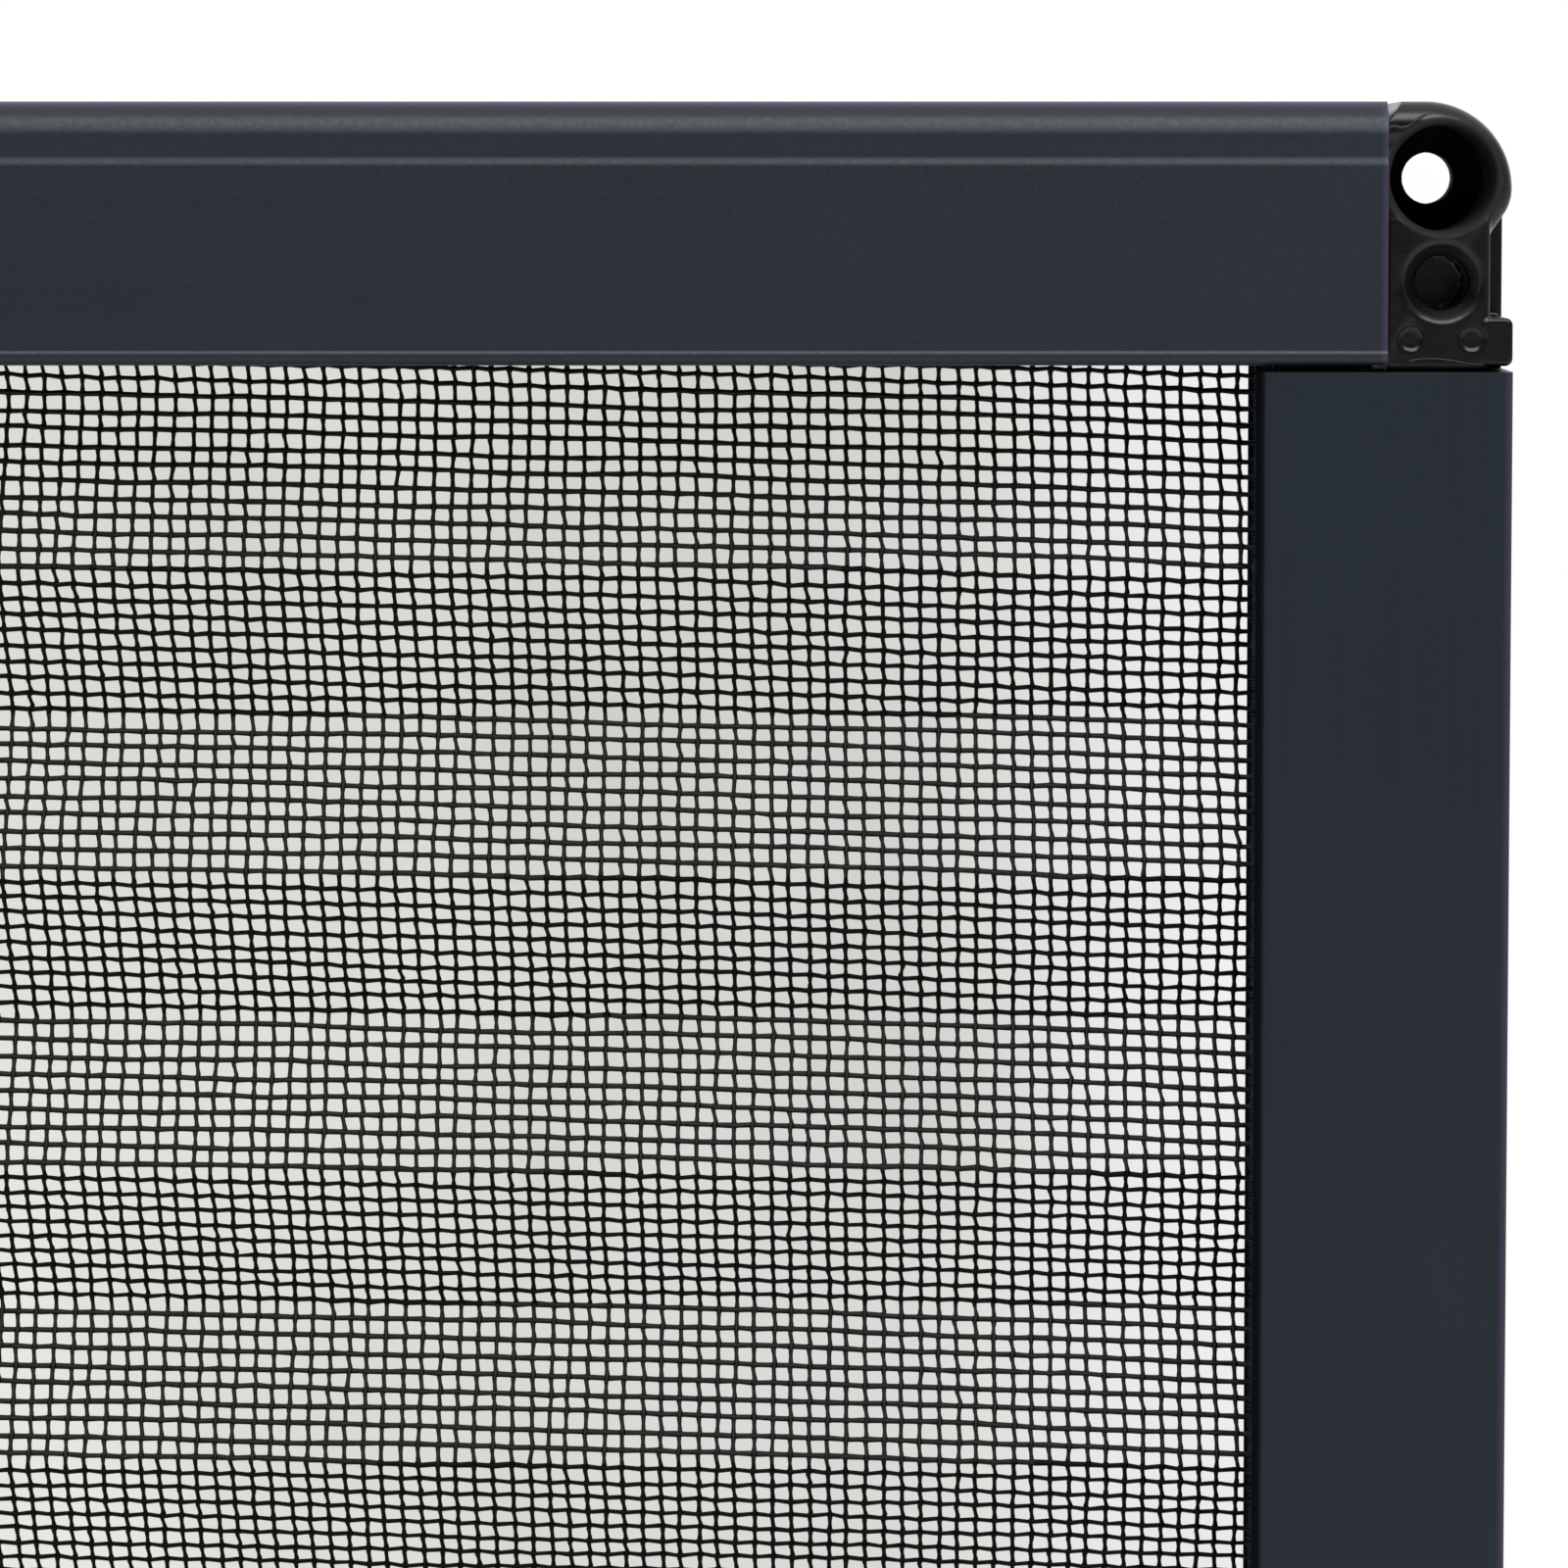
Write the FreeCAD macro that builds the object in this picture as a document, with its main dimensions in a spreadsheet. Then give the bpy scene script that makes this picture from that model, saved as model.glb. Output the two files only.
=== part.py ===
import FreeCAD, Part
import os
import Sketcher
from FreeCAD import Placement, Rotation, Vector

# Pleated insect screen for a window. X runs across the window, Z is up, and the mounting plane
# against the window is Y = 0, with the screen's visible front towards -Y. The origin is the middle
# of the pattern of the four corner screw holes, on the mounting plane. Millimetres.

doc = FreeCAD.newDocument("pleated_insect_screen")
sheet = doc.addObject("Spreadsheet::Sheet", "sizes")
sheet.Label = "sizes"

DIMENSIONS = [
    ("overall_width", 700.0, "outside of the left cap to outside of the right cap"),
    ("overall_height", 600.0, "top of the head rail to the bottom of the bottom rail"),
    ("frame_depth", 19.0, "mounting plane to the front face of the rails"),
    ("wall", 1.3, "wall of the extrusions"),
    ("rail_height", 20.5, "head rail and bottom rail"),
    ("rail_inset", 9.8, "from the outside of the caps to the end of the head rail"),
    ("nose_radius", 2.6, "rounded nose along the top of the head rail"),
    ("nose_setback", 0.5, "nose stands this far behind the rail's bottom lip"),
    ("cove_depth", 0.12, "cove below the nose, at its deepest"),
    ("cove_start", 2.6, "cove, down from the top"),
    ("cove_end", 4.25, "cove, down from the top"),
    ("face_start", 4.95, "upper edge of the flat front face, down from the top"),
    ("face_setback", 0.1, "front face behind the rail's bottom lip"),
    ("lip_start", 19.25, "rail's bottom lip, down from the top"),
    ("edge_round", 0.8, "small rounds of the extrusions"),
    ("web_top", 6.1, "head rail's web, down from the top"),
    ("web_thick", 1.2, "webs of the extrusions"),
    ("slot_mid", 5.4, "middle plane of the mesh, in front of the mounting plane"),
    ("slot_half", 2.5, "half the width of the clamp slot's pocket"),
    ("mouth_half", 1.2, "half the width of the clamp slot's mouth"),
    ("slot_deep", 1.8, "depth of the clamp slot's pocket"),
    ("lip", 1.0, "lip of the clamp slot"),
    ("guide_width", 19.6, "side guide, seen from the front"),
    ("guide_inner_round", 1.0, "rounded edge of the side guide beside the mesh"),
    ("guide_end", 21.0, "end of the side guide, from the top of the head rail"),
    ("channel_deep", 11.0, "channel that the mesh edge and the shoe run in"),
    ("channel_front", 11.6, "front of that channel, in front of the mounting plane"),
    ("brush_mouth_a", 1.4, "brush slot's mouth, from the guide's inner edge"),
    ("brush_mouth_b", 4.4, "the far side of that mouth"),
    ("brush_pocket_a", 0.9, "brush slot's pocket, from the guide's inner edge"),
    ("brush_pocket_b", 5.7, "the far side of that pocket"),
    ("brush_lip", 0.8, "lip of the brush slot"),
    ("brush_pocket_deep", 0.7, "depth of the brush slot's pocket"),
    ("pile_tip", 9.1, "tip of the guide's pile, in front of the mounting plane"),
    ("mesh_front", 8.8, "front folds of the mesh, in front of the mounting plane"),
    ("mesh_back", 2.0, "rear folds of the mesh, in front of the mounting plane"),
    ("face_rise", 12.1, "height of one pleat face"),
    ("first_fold", 12.9, "first front fold, down from the top"),
    ("pleats", 22, "whole pleats"),
    ("mesh_thick", 0.8, "mesh, measured upright"),
    ("mesh_tab", 0.4, "flat edge of the mesh in its clamps"),
    ("mesh_in_guide", 8.0, "mesh edge's reach into the guide"),
    ("bar_height", 25.0, "pull bar"),
    ("bar_top", 36.5, "top of the closed pull bar, up from the bottom rail's underside"),
    ("bar_front", 16.4, "front of the pull bar, in front of the mounting plane"),
    ("bar_back", 1.7, "back of the pull bar, in front of the mounting plane"),
    ("bar_wall", 1.2, "wall of the pull bar"),
    ("bar_gap", 3.4, "end of the pull bar's extrusion, from the guide's inner edge"),
    ("cap_height", 21.0, "corner cap"),
    ("cap_front", 18.0, "face of the corner cap, in front of the mounting plane"),
    ("plate_deep", 9.0, "full-width rear part of the corner cap"),
    ("hole_across", 4.35, "screw hole, from the end of the head rail"),
    ("hole_down", 5.95, "screw hole, down from the top"),
    ("hole_radius", 2.05, "screw hole"),
    ("head_radius", 4.15, "counterbore for the screw's head"),
    ("seat_thick", 3.0, "plastic under the screw's head"),
    ("collar_radius", 4.65, "raised collar around the counterbore"),
    ("collar_rise", 0.45, "collar above the cap's face"),
    ("ear_round", 1.9, "rounded front edge of the ear"),
    ("pocket_across", 4.3, "blind pocket, from the end of the head rail"),
    ("pocket_down", 14.05, "blind pocket, down from the top"),
    ("pocket_radius", 2.1, "blind pocket"),
    ("pocket_deep", 7.0, "blind pocket"),
    ("pocket_bevel", 1.0, "bevel of the blind pocket's rim"),
    ("mark_radius", 0.95, "ejector marks"),
    ("mark_down", 18.45, "ejector marks, down from the top"),
    ("mark_deep", 0.2, "ejector marks"),
    ("tongue_long", 16.0, "cap's tongue in the head rail"),
    ("spigot_long", 14.0, "cap's spigots in the side guide"),
    ("handle_half", 42.0, "half the length of the finger grip"),
    ("grip_reach", 10.6, "finger grip, forward of the pull bar"),
    ("screw_across", 30.0, "grip's screws, from the middle"),
    ("shank_radius", 1.45, "grip's screws"),
    ("screw_head_radius", 2.7, "grip's screws"),
    ("screw_down", 10.5, "grip's screws, down from the top of the pull bar"),
]


class Dim:
    """A length: its value, and the expression that gives it from the spreadsheet."""

    def __init__(self, value, text):
        self.value, self.text = float(value), text

    def __add__(self, other):
        other = dim(other)
        return Dim(self.value + other.value, "(%s + %s)" % (self.text, other.text))

    def __sub__(self, other):
        other = dim(other)
        return Dim(self.value - other.value, "(%s - %s)" % (self.text, other.text))

    def __mul__(self, other):
        other = dim(other)
        return Dim(self.value * other.value, "(%s * %s)" % (self.text, other.text))

    def __truediv__(self, other):
        other = dim(other)
        return Dim(self.value / other.value, "(%s / %s)" % (self.text, other.text))

    def __neg__(self):
        return Dim(-self.value, "(-1 * %s)" % self.text)

    def __radd__(self, other):
        return dim(other) + self

    def __rsub__(self, other):
        return dim(other) - self

    def __rmul__(self, other):
        return dim(other) * self


def dim(x):
    return x if isinstance(x, Dim) else Dim(x, "(%.6f)" % x)


D = {}
for row, (alias, value, note) in enumerate(DIMENSIONS, 1):
    sheet.set("A%d" % row, note)
    sheet.set("B%d" % row, "%g" % value)
    sheet.setAlias("B%d" % row, alias)
    D[alias] = Dim(value, "sizes.%s" % alias)
doc.recompute()

WALL, ROUND = D["wall"], D["edge_round"]
HALF_W, TOP = D["overall_width"] / 2, D["overall_height"] / 2
FRONT = D["frame_depth"]  # distances in front of the mounting plane are positive, so Y is minus these
RAIL_END = HALF_W - D["rail_inset"]
GUIDE_IN = HALF_W - D["guide_width"]
MID = D["slot_mid"]

made = []  # (node name, object)


def body(name):
    b = doc.addObject("PartDesign::Body", name)
    b.Label = name
    made.append((name, b))
    return b


def plane(b, role):
    return [f for f in b.Origin.OriginFeatures if f.Role == role][0]


def sketch(b, name, role, offset=None):
    s = b.newObject("Sketcher::SketchObject", name)
    s.AttachmentSupport = [(plane(b, role), "")]
    s.MapMode = "FlatFace"
    if offset is not None:
        s.AttachmentOffset = Placement(Vector(0, 0, offset.value), Rotation())
        s.setExpression("AttachmentOffset.Base.z", offset.text)
    return s


def hold(s, geometry, position, x, y):
    """Fixes one point of a sketch at (x, y)."""
    for kind, axis, value in (("DistanceX", -2, x), ("DistanceY", -1, y)):
        if abs(value.value) < 1e-9:
            s.addConstraint(Sketcher.Constraint("PointOnObject", geometry, position, axis))
        else:
            c = s.addConstraint(Sketcher.Constraint(kind, -1, 1, geometry, position, value.value))
            s.setExpression("Constraints[%d]" % c, value.text)


def loop(s, start, edges):
    """Draws a closed loop from start. Each edge is ("to", x, y), or ("arc", x, y, radius, side),
    an arc to (x, y) that bulges to the left (1) or the right (-1) of the way there."""
    points = [(dim(start[0]), dim(start[1]))] + [(dim(e[1]), dim(e[2])) for e in edges]
    points[-1] = points[0]
    ids, ends = [], []
    for i, e in enumerate(edges):
        a = Vector(points[i][0].value, points[i][1].value, 0)
        b = Vector(points[i + 1][0].value, points[i + 1][1].value, 0)
        if e[0] == "to":
            g = s.addGeometry(Part.LineSegment(a, b), False)
        else:
            r, side = dim(e[3]), e[4]
            half = (b - a).Length / 2
            rise = r.value - max(r.value**2 - half**2, 0.0) ** 0.5
            across = (b - a).normalize()
            left = Vector(-across.y, across.x, 0)
            g = s.addGeometry(Part.Arc(a, (a + b) * 0.5 + left * (side * rise), b), False)
            c = s.addConstraint(Sketcher.Constraint("Radius", g, r.value))
            s.setExpression("Constraints[%d]" % c, r.text)
        first, last = (1, 2) if (s.getPoint(g, 1) - a).Length < (s.getPoint(g, 2) - a).Length else (2, 1)
        ids.append(g)
        ends.append((first, last))
    n = len(edges)
    for i in range(n):
        j = (i + 1) % n
        s.addConstraint(Sketcher.Constraint("Coincident", ids[i], ends[i][1], ids[j], ends[j][0]))
        hold(s, ids[i], ends[i][0], *points[i])


def ring(s, x, y, radius):
    x, y, radius = dim(x), dim(y), dim(radius)
    g = s.addGeometry(Part.Circle(Vector(x.value, y.value, 0), Vector(0, 0, 1), radius.value), False)
    hold(s, g, 3, x, y)
    c = s.addConstraint(Sketcher.Constraint("Radius", g, radius.value))
    s.setExpression("Constraints[%d]" % c, radius.text)


def box(s, x0, y0, x1, y1):
    loop(s, (x0, y0), [("to", x1, y0), ("to", x1, y1), ("to", x0, y1), ("to", x0, y0)])


def pad(b, s, length, symmetric=False, reverse=False):
    f = b.newObject("PartDesign::Pad", s.Name + "_pad")
    f.Profile = s
    f.SideType = "Symmetric" if symmetric else "One side"
    f.setExpression("Length", dim(length).text)
    f.Reversed = reverse
    s.Visibility = False
    doc.recompute()
    if f.Shape.isNull() or not f.Shape.isValid():
        raise RuntimeError("%s fails" % f.Name)
    return f


def pocket(b, s, length, reverse=False):
    before = b.Shape.Volume
    f = b.newObject("PartDesign::Pocket", s.Name + "_cut")
    f.Profile = s
    f.Type = "Length"
    f.setExpression("Length", dim(length).text)
    f.Reversed = reverse
    s.Visibility = False
    doc.recompute()
    if not b.Shape.Volume < before - 1e-6:
        raise RuntimeError("%s cuts nothing" % f.Name)
    return f


def edges_where(shape, test):
    return ["Edge%d" % (i + 1) for i, e in enumerate(shape.Edges) if test(e)]


def dress(b, kind, feature, names, prop, size, label):
    if not names:
        raise RuntimeError("%s finds no edge" % label)
    f = b.newObject("PartDesign::" + kind, label)
    f.Base = (feature, names)
    f.setExpression(prop, dim(size).text)
    doc.recompute()
    if f.Shape.isNull() or not f.Shape.isValid():
        raise RuntimeError("%s fails" % label)
    return f


def mirrored(name, source, normal):
    m = doc.addObject("Part::Mirroring", name)
    m.Label = name
    m.Source = source
    m.Normal = normal
    m.Base = Vector(0, 0, 0)
    made.append((name, m))
    return m


# ---- head rail: one extrusion, open below, with a closed chamber over a web and the slot that
# clamps the mesh. Section in the YZ plane. ----
head = body("head_rail")
s = sketch(head, "head_rail_section", "YZ_Plane")
wall_in = FRONT - WALL
web_under = D["web_top"] + D["web_thick"]
slot_floor = web_under + D["slot_deep"]
slot_out = slot_floor + D["lip"]
loop(
    s,
    (0, TOP - ROUND),
    [
        ("to", 0, TOP - D["rail_height"]),
        ("to", -WALL, TOP - D["rail_height"]),
        ("to", -WALL, TOP - slot_out),
        ("to", -(MID - D["mouth_half"]), TOP - slot_out),
        ("to", -(MID - D["mouth_half"]), TOP - slot_floor),
        ("to", -(MID - D["slot_half"]), TOP - slot_floor),
        ("to", -(MID - D["slot_half"]), TOP - web_under),
        ("to", -(MID + D["slot_half"]), TOP - web_under),
        ("to", -(MID + D["slot_half"]), TOP - slot_floor),
        ("to", -(MID + D["mouth_half"]), TOP - slot_floor),
        ("to", -(MID + D["mouth_half"]), TOP - slot_out),
        ("to", -(MID + D["slot_half"] + D["web_thick"]), TOP - slot_out),
        ("to", -(MID + D["slot_half"] + D["web_thick"]), TOP - web_under),
        ("to", -wall_in, TOP - web_under),
        ("to", -wall_in, TOP - D["rail_height"]),
        ("to", -(FRONT - ROUND), TOP - D["rail_height"]),
        ("arc", -FRONT, TOP - D["rail_height"] + ROUND, ROUND, 1),
        ("to", -FRONT, TOP - D["lip_start"] - 0.25),
        ("to", -(FRONT - D["face_setback"]), TOP - D["lip_start"]),
        ("to", -(FRONT - D["face_setback"]), TOP - D["face_start"]),
        ("arc", -(FRONT - D["nose_setback"] - D["cove_depth"]), TOP - D["cove_end"], D["edge_round"], 1),
        ("to", -(FRONT - D["nose_setback"]), TOP - D["cove_start"]),
        ("arc", -(FRONT - D["nose_setback"] - D["nose_radius"]), TOP, D["nose_radius"], 1),
        ("to", -ROUND, TOP),
        ("arc", 0, TOP - ROUND, ROUND, 1),
    ],
)
chamber_front = FRONT - D["nose_setback"] - D["cove_depth"] - WALL
loop(
    s,
    (-WALL, TOP - WALL),
    [
        ("to", -WALL, TOP - D["web_top"]),
        ("to", -chamber_front, TOP - D["web_top"]),
        ("to", -chamber_front, TOP - 3.2),
        ("to", -(chamber_front - 1.6), TOP - WALL),
        ("to", -WALL, TOP - WALL),
    ],
)
pad(head, s, RAIL_END * 2, symmetric=True)

# ---- side guide, right: one extrusion. The channel at the back opens towards the mesh; the brush
# slot is beside its mouth; the two closed chambers take the corner caps' spigots. ----
guide = body("guide_rail_right")
s = sketch(guide, "guide_section", "XY_Plane")
channel_front = D["channel_front"]
pocket_rear = channel_front + D["brush_lip"]
pocket_front = pocket_rear + D["brush_pocket_deep"]
outer = D["guide_width"]
loop(
    s,
    (GUIDE_IN, -(FRONT - D["guide_inner_round"])),
    [
        ("arc", GUIDE_IN + D["guide_inner_round"], -FRONT, D["guide_inner_round"], -1),
        ("to", HALF_W - ROUND, -FRONT),
        ("arc", HALF_W, -(FRONT - ROUND), ROUND, -1),
        ("to", HALF_W, -0.5),
        ("arc", HALF_W - 0.5, 0, 0.5, -1),
        ("to", GUIDE_IN, 0),
        ("to", GUIDE_IN, -WALL),
        ("to", GUIDE_IN + D["channel_deep"], -WALL),
        ("to", GUIDE_IN + D["channel_deep"], -channel_front),
        ("to", GUIDE_IN + D["brush_mouth_b"], -channel_front),
        ("to", GUIDE_IN + D["brush_mouth_b"], -pocket_rear),
        ("to", GUIDE_IN + D["brush_pocket_b"], -pocket_rear),
        ("to", GUIDE_IN + D["brush_pocket_b"], -pocket_front),
        ("to", GUIDE_IN + D["brush_pocket_a"], -pocket_front),
        ("to", GUIDE_IN + D["brush_pocket_a"], -pocket_rear),
        ("to", GUIDE_IN + D["brush_mouth_a"], -pocket_rear),
        ("to", GUIDE_IN + D["brush_mouth_a"], -channel_front),
        ("to", GUIDE_IN, -channel_front),
        ("to", GUIDE_IN, -(FRONT - D["guide_inner_round"])),
    ],
)
front_chamber_rear = channel_front + D["web_thick"]
loop(
    s,
    (GUIDE_IN + WALL, -(FRONT - WALL)),
    [
        ("to", HALF_W - WALL, -(FRONT - WALL)),
        ("to", HALF_W - WALL, -front_chamber_rear),
        ("to", GUIDE_IN + D["brush_pocket_b"] + D["web_thick"], -front_chamber_rear),
        ("to", GUIDE_IN + D["brush_pocket_b"] + D["web_thick"], -(pocket_front + D["web_thick"])),
        ("to", GUIDE_IN + WALL, -(pocket_front + D["web_thick"])),
        ("to", GUIDE_IN + WALL, -(FRONT - WALL)),
    ],
)
rear_chamber_in = GUIDE_IN + D["channel_deep"] + D["web_thick"]
loop(
    s,
    (rear_chamber_in, -channel_front),
    [
        ("to", HALF_W - WALL, -channel_front),
        ("to", HALF_W - WALL, -WALL),
        ("to", rear_chamber_in, -WALL),
        ("to", rear_chamber_in, -channel_front),
    ],
)
pad(guide, s, (TOP - D["guide_end"]) * 2, symmetric=True)
mirrored("guide_rail_left", guide, Vector(1, 0, 0))

# ---- pile seal in the guide's brush slot: a flat backing and a pile that spreads towards its tip.
brush = body("guide_brush_right")
s = sketch(brush, "brush_section", "XY_Plane")
backing_rear = pocket_rear + 0.08
root_a, root_b = GUIDE_IN + D["brush_mouth_a"] + 0.1, GUIDE_IN + D["brush_mouth_b"] - 0.1
loop(
    s,
    (GUIDE_IN + D["brush_pocket_a"] + 0.1, -(pocket_front - 0.05)),
    [
        ("to", GUIDE_IN + D["brush_pocket_b"] - 0.1, -(pocket_front - 0.05)),
        ("to", GUIDE_IN + D["brush_pocket_b"] - 0.1, -backing_rear),
        ("to", root_b, -backing_rear),
        ("to", root_b, -(channel_front - 0.1)),
        ("to", GUIDE_IN + 5.4, -D["pile_tip"]),
        ("to", GUIDE_IN - 0.3, -D["pile_tip"]),
        ("to", root_a, -(channel_front - 0.1)),
        ("to", root_a, -backing_rear),
        ("to", GUIDE_IN + D["brush_pocket_a"] + 0.1, -backing_rear),
        ("to", GUIDE_IN + D["brush_pocket_a"] + 0.1, -(pocket_front - 0.05)),
    ],
)
pad(brush, s, (TOP - D["guide_end"]) * 2 - 1.0, symmetric=True)
mirrored("guide_brush_left", brush, Vector(1, 0, 0))

# ---- corner cap, top right ----
cap = body("corner_cap_top_right")


def at(across, down):
    """A point of the cap seen from the front: across from the rail's end, down from the top."""
    return (RAIL_END + across, TOP - down)


def up_to(kind, across, down, *rest):
    return (kind, RAIL_END + across, TOP - down) + rest


EDGE, BASE = D["rail_inset"], D["cap_height"]


ear = [
    up_to("to", 3.0, 0),
    up_to("arc", EDGE, EDGE - 3.0, EDGE - 3.0, 1),
]
s = sketch(cap, "cap_ear", "XZ_Plane")
loop(
    s,
    at(0, 0),
    ear
    + [
        up_to("arc", EDGE - 3.4 + 3.4 * 0.81915, EDGE - 3.0 + 3.4 * 0.57358, 3.4, 1),
        up_to("to", 8.0, 10.44),
        up_to("to", 0, 10.44),
        up_to("to", 0, 0),
    ],
)
face = pad(cap, s, D["cap_front"])


def level(e, forward):
    """The middle of an edge that lies all at one distance in front of the mounting plane, or None."""
    middle = e.valueAt((e.FirstParameter + e.LastParameter) / 2)
    points = [v.Point for v in e.Vertexes] + [middle]
    return middle if all(abs(p.y + forward) < 1e-4 for p in points) else None


def on_ear(e):
    """The front edge of the ear, from its top to its outer corner."""
    m = level(e, D["cap_front"].value)
    return m is not None and m.z > TOP.value - 9.9 and m.x > RAIL_END.value + 1.2


dress(cap, "Fillet", face, edges_where(face.Shape, on_ear), "Radius", D["ear_round"], "ear_front_round")
s = sketch(cap, "cap_waist", "XZ_Plane")
box(s, RAIL_END, TOP - BASE, RAIL_END + 8.0, TOP - 10.44)
face = pad(cap, s, D["cap_front"])


def on_foot(e):
    m = level(e, D["cap_front"].value)
    return m is not None and abs(m.z - TOP.value + D["cap_height"].value) < 1e-4


dress(cap, "Chamfer", face, edges_where(face.Shape, on_foot), "Size", dim(0.5), "foot_bevel")
s = sketch(cap, "cap_plate", "XZ_Plane")
loop(
    s,
    at(0, 0),
    ear + [up_to("to", EDGE, BASE), up_to("to", 0, BASE), up_to("to", 0, 0)],
)
pad(cap, s, D["plate_deep"])
s = sketch(cap, "cap_corner", "XZ_Plane")
loop(s, at(0, -0.5), [up_to("to", 1.55, -0.5), up_to("to", 0, 1.5), up_to("to", 0, -0.5)])
pocket(cap, s, FRONT, reverse=True)

# the collar round the screw hole, and the lug that covers the guide's end
s = sketch(cap, "cap_collar", "XZ_Plane")
ring(s, *at(D["hole_across"], D["hole_down"]), D["collar_radius"])
pad(cap, s, D["cap_front"] + D["collar_rise"])
s = sketch(cap, "cap_collar_side", "XZ_Plane")
box(s, RAIL_END - 1.5, TOP - 12, RAIL_END, TOP + 1)
pocket(cap, s, FRONT + 2, reverse=True)
s = sketch(cap, "cap_lug", "XZ_Plane")
loop(
    s,
    at(7.95, 16.8),
    [
        up_to("to", EDGE - 0.5, 16.8),
        up_to("arc", EDGE, 17.3, 0.5, 1),
        up_to("to", EDGE, BASE - 0.45),
        up_to("to", 7.95, BASE - 0.45),
        up_to("to", 7.95, 16.8),
    ],
)
lug = pad(cap, s, FRONT - 0.5)


def on_lug(e):
    m = level(e, FRONT.value - 0.5)
    return m is not None and abs(m.x - HALF_W.value) < 1e-4


lug = dress(cap, "Fillet", lug, edges_where(lug.Shape, on_lug), "Radius", ROUND, "lug_round")

# screw hole with its deep counterbore, blind pocket and ejector marks
s = sketch(cap, "cap_counterbore", "XZ_Plane", D["seat_thick"])
ring(s, *at(D["hole_across"], D["hole_down"]), D["head_radius"])
face = pocket(cap, s, FRONT + 2, reverse=True)


def on_mouth(e):
    """The rim of the counterbore."""
    m = level(e, D["cap_front"].value + D["collar_rise"].value)
    return m is not None and hasattr(e.Curve, "Radius") and abs(e.Curve.Radius - D["head_radius"].value) < 1e-4


dress(cap, "Fillet", face, edges_where(face.Shape, on_mouth), "Radius", dim(0.35), "counterbore_mouth")
s = sketch(cap, "cap_screw_hole", "XZ_Plane")
ring(s, *at(D["hole_across"], D["hole_down"]), D["hole_radius"])
pocket(cap, s, FRONT + 2, reverse=True)
s = sketch(cap, "cap_blind_pocket", "XZ_Plane", D["cap_front"] - D["pocket_deep"])
ring(s, *at(D["pocket_across"], D["pocket_down"]), D["pocket_radius"])
face = pocket(cap, s, FRONT, reverse=True)


def on_rim(e):
    m = level(e, D["cap_front"].value)
    if m is None or not hasattr(e.Curve, "Radius"):
        return False
    return abs(e.Curve.Radius - D["pocket_radius"].value) < 1e-4


dress(cap, "Chamfer", face, edges_where(face.Shape, on_rim), "Size", D["pocket_bevel"], "pocket_bevel_edge")
for i, across in enumerate((1.85, 6.6)):
    s = sketch(cap, "cap_mark_%d" % (i + 1), "XZ_Plane", D["cap_front"] - D["mark_deep"])
    ring(s, *at(across, D["mark_down"]), D["mark_radius"])
    pocket(cap, s, FRONT, reverse=True)

# the tongue in the head rail's closed chamber, and the two spigots in the guide's chambers
s = sketch(cap, "cap_tongue", "YZ_Plane", RAIL_END)
box(s, -(chamber_front - 1.8), TOP - WALL - 0.25, -WALL - 0.3, TOP - D["web_top"] + 0.25)
tongue = pad(cap, s, D["tongue_long"], reverse=True)
s = sketch(cap, "cap_front_spigot", "XY_Plane", TOP - BASE)
box(s, RAIL_END + 0.5, -(FRONT - WALL - 0.3), HALF_W - WALL - 0.3, -(front_chamber_rear + 0.3))
pad(cap, s, D["spigot_long"], reverse=True)
s = sketch(cap, "cap_rear_spigot", "XY_Plane", TOP - BASE)
box(s, rear_chamber_in + 0.3, -(channel_front - 0.3), HALF_W - WALL - 0.3, -(WALL + 0.3))
pad(cap, s, D["spigot_long"], reverse=True)

cap_left = mirrored("corner_cap_top_left", cap, Vector(1, 0, 0))
mirrored("corner_cap_bottom_right", cap, Vector(0, 0, 1))
mirrored("corner_cap_bottom_left", cap_left, Vector(0, 0, 1))
mirrored("bottom_rail", head, Vector(0, 0, 1))

# ---- mesh: one closed sheet in folds. A whole pleat runs from one front fold over the rear fold to
# the next front fold, and repeats; flat edges at both ends sit in the clamps. ----
mesh = body("pleated_mesh")
near, far = -D["mesh_front"], -D["mesh_back"]
half_t, rise = D["mesh_thick"] / 2, D["face_rise"]
f0 = TOP - D["first_fold"]
steep = rise / (D["mesh_front"] - D["mesh_back"])
crease = far - half_t / steep  # inner corner of a rear fold
mesh_width = (GUIDE_IN + D["mesh_in_guide"]) * 2
s = sketch(mesh, "pleat", "YZ_Plane")
loop(
    s,
    (near, f0 + half_t),
    [
        ("to", far, f0 - rise + half_t),
        ("to", far, f0 - rise - half_t),
        ("to", near, f0 - rise * 2 - half_t),
        ("to", near, f0 - rise * 2 + half_t),
        ("to", crease, f0 - rise),
        ("to", near, f0 - half_t),
        ("to", near, f0 + half_t),
    ],
)
pleat = pad(mesh, s, mesh_width, symmetric=True)
pattern = mesh.newObject("PartDesign::LinearPattern", "pleats_down")
pattern.Originals = [pleat]
pattern.Direction = (plane(mesh, "Z_Axis"), [""])
pattern.Reversed = True
pattern.Mode = "Extent"
pattern.setExpression("Length", (D["face_rise"] * 2 * (D["pleats"] - 1)).text)
pattern.setExpression("Occurrences", "sizes.pleats")
mesh.Tip = pattern
doc.recompute()
tab = D["mesh_tab"] / 2
tab_top = TOP - web_under - 1.3
s = sketch(mesh, "mesh_top_edge", "YZ_Plane")
loop(
    s,
    (-(MID - tab), tab_top),
    [
        ("to", -(MID + tab), tab_top),
        ("to", -(MID + tab), TOP - slot_out - 0.4),
        ("to", near, f0 + half_t),
        ("to", near, f0 - half_t),
        ("to", -(MID - tab), TOP - slot_out - 0.9),
        ("to", -(MID - tab), tab_top),
    ],
)
pad(mesh, s, mesh_width, symmetric=True)
f_last = f0 - rise * 2 * D["pleats"]
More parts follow.
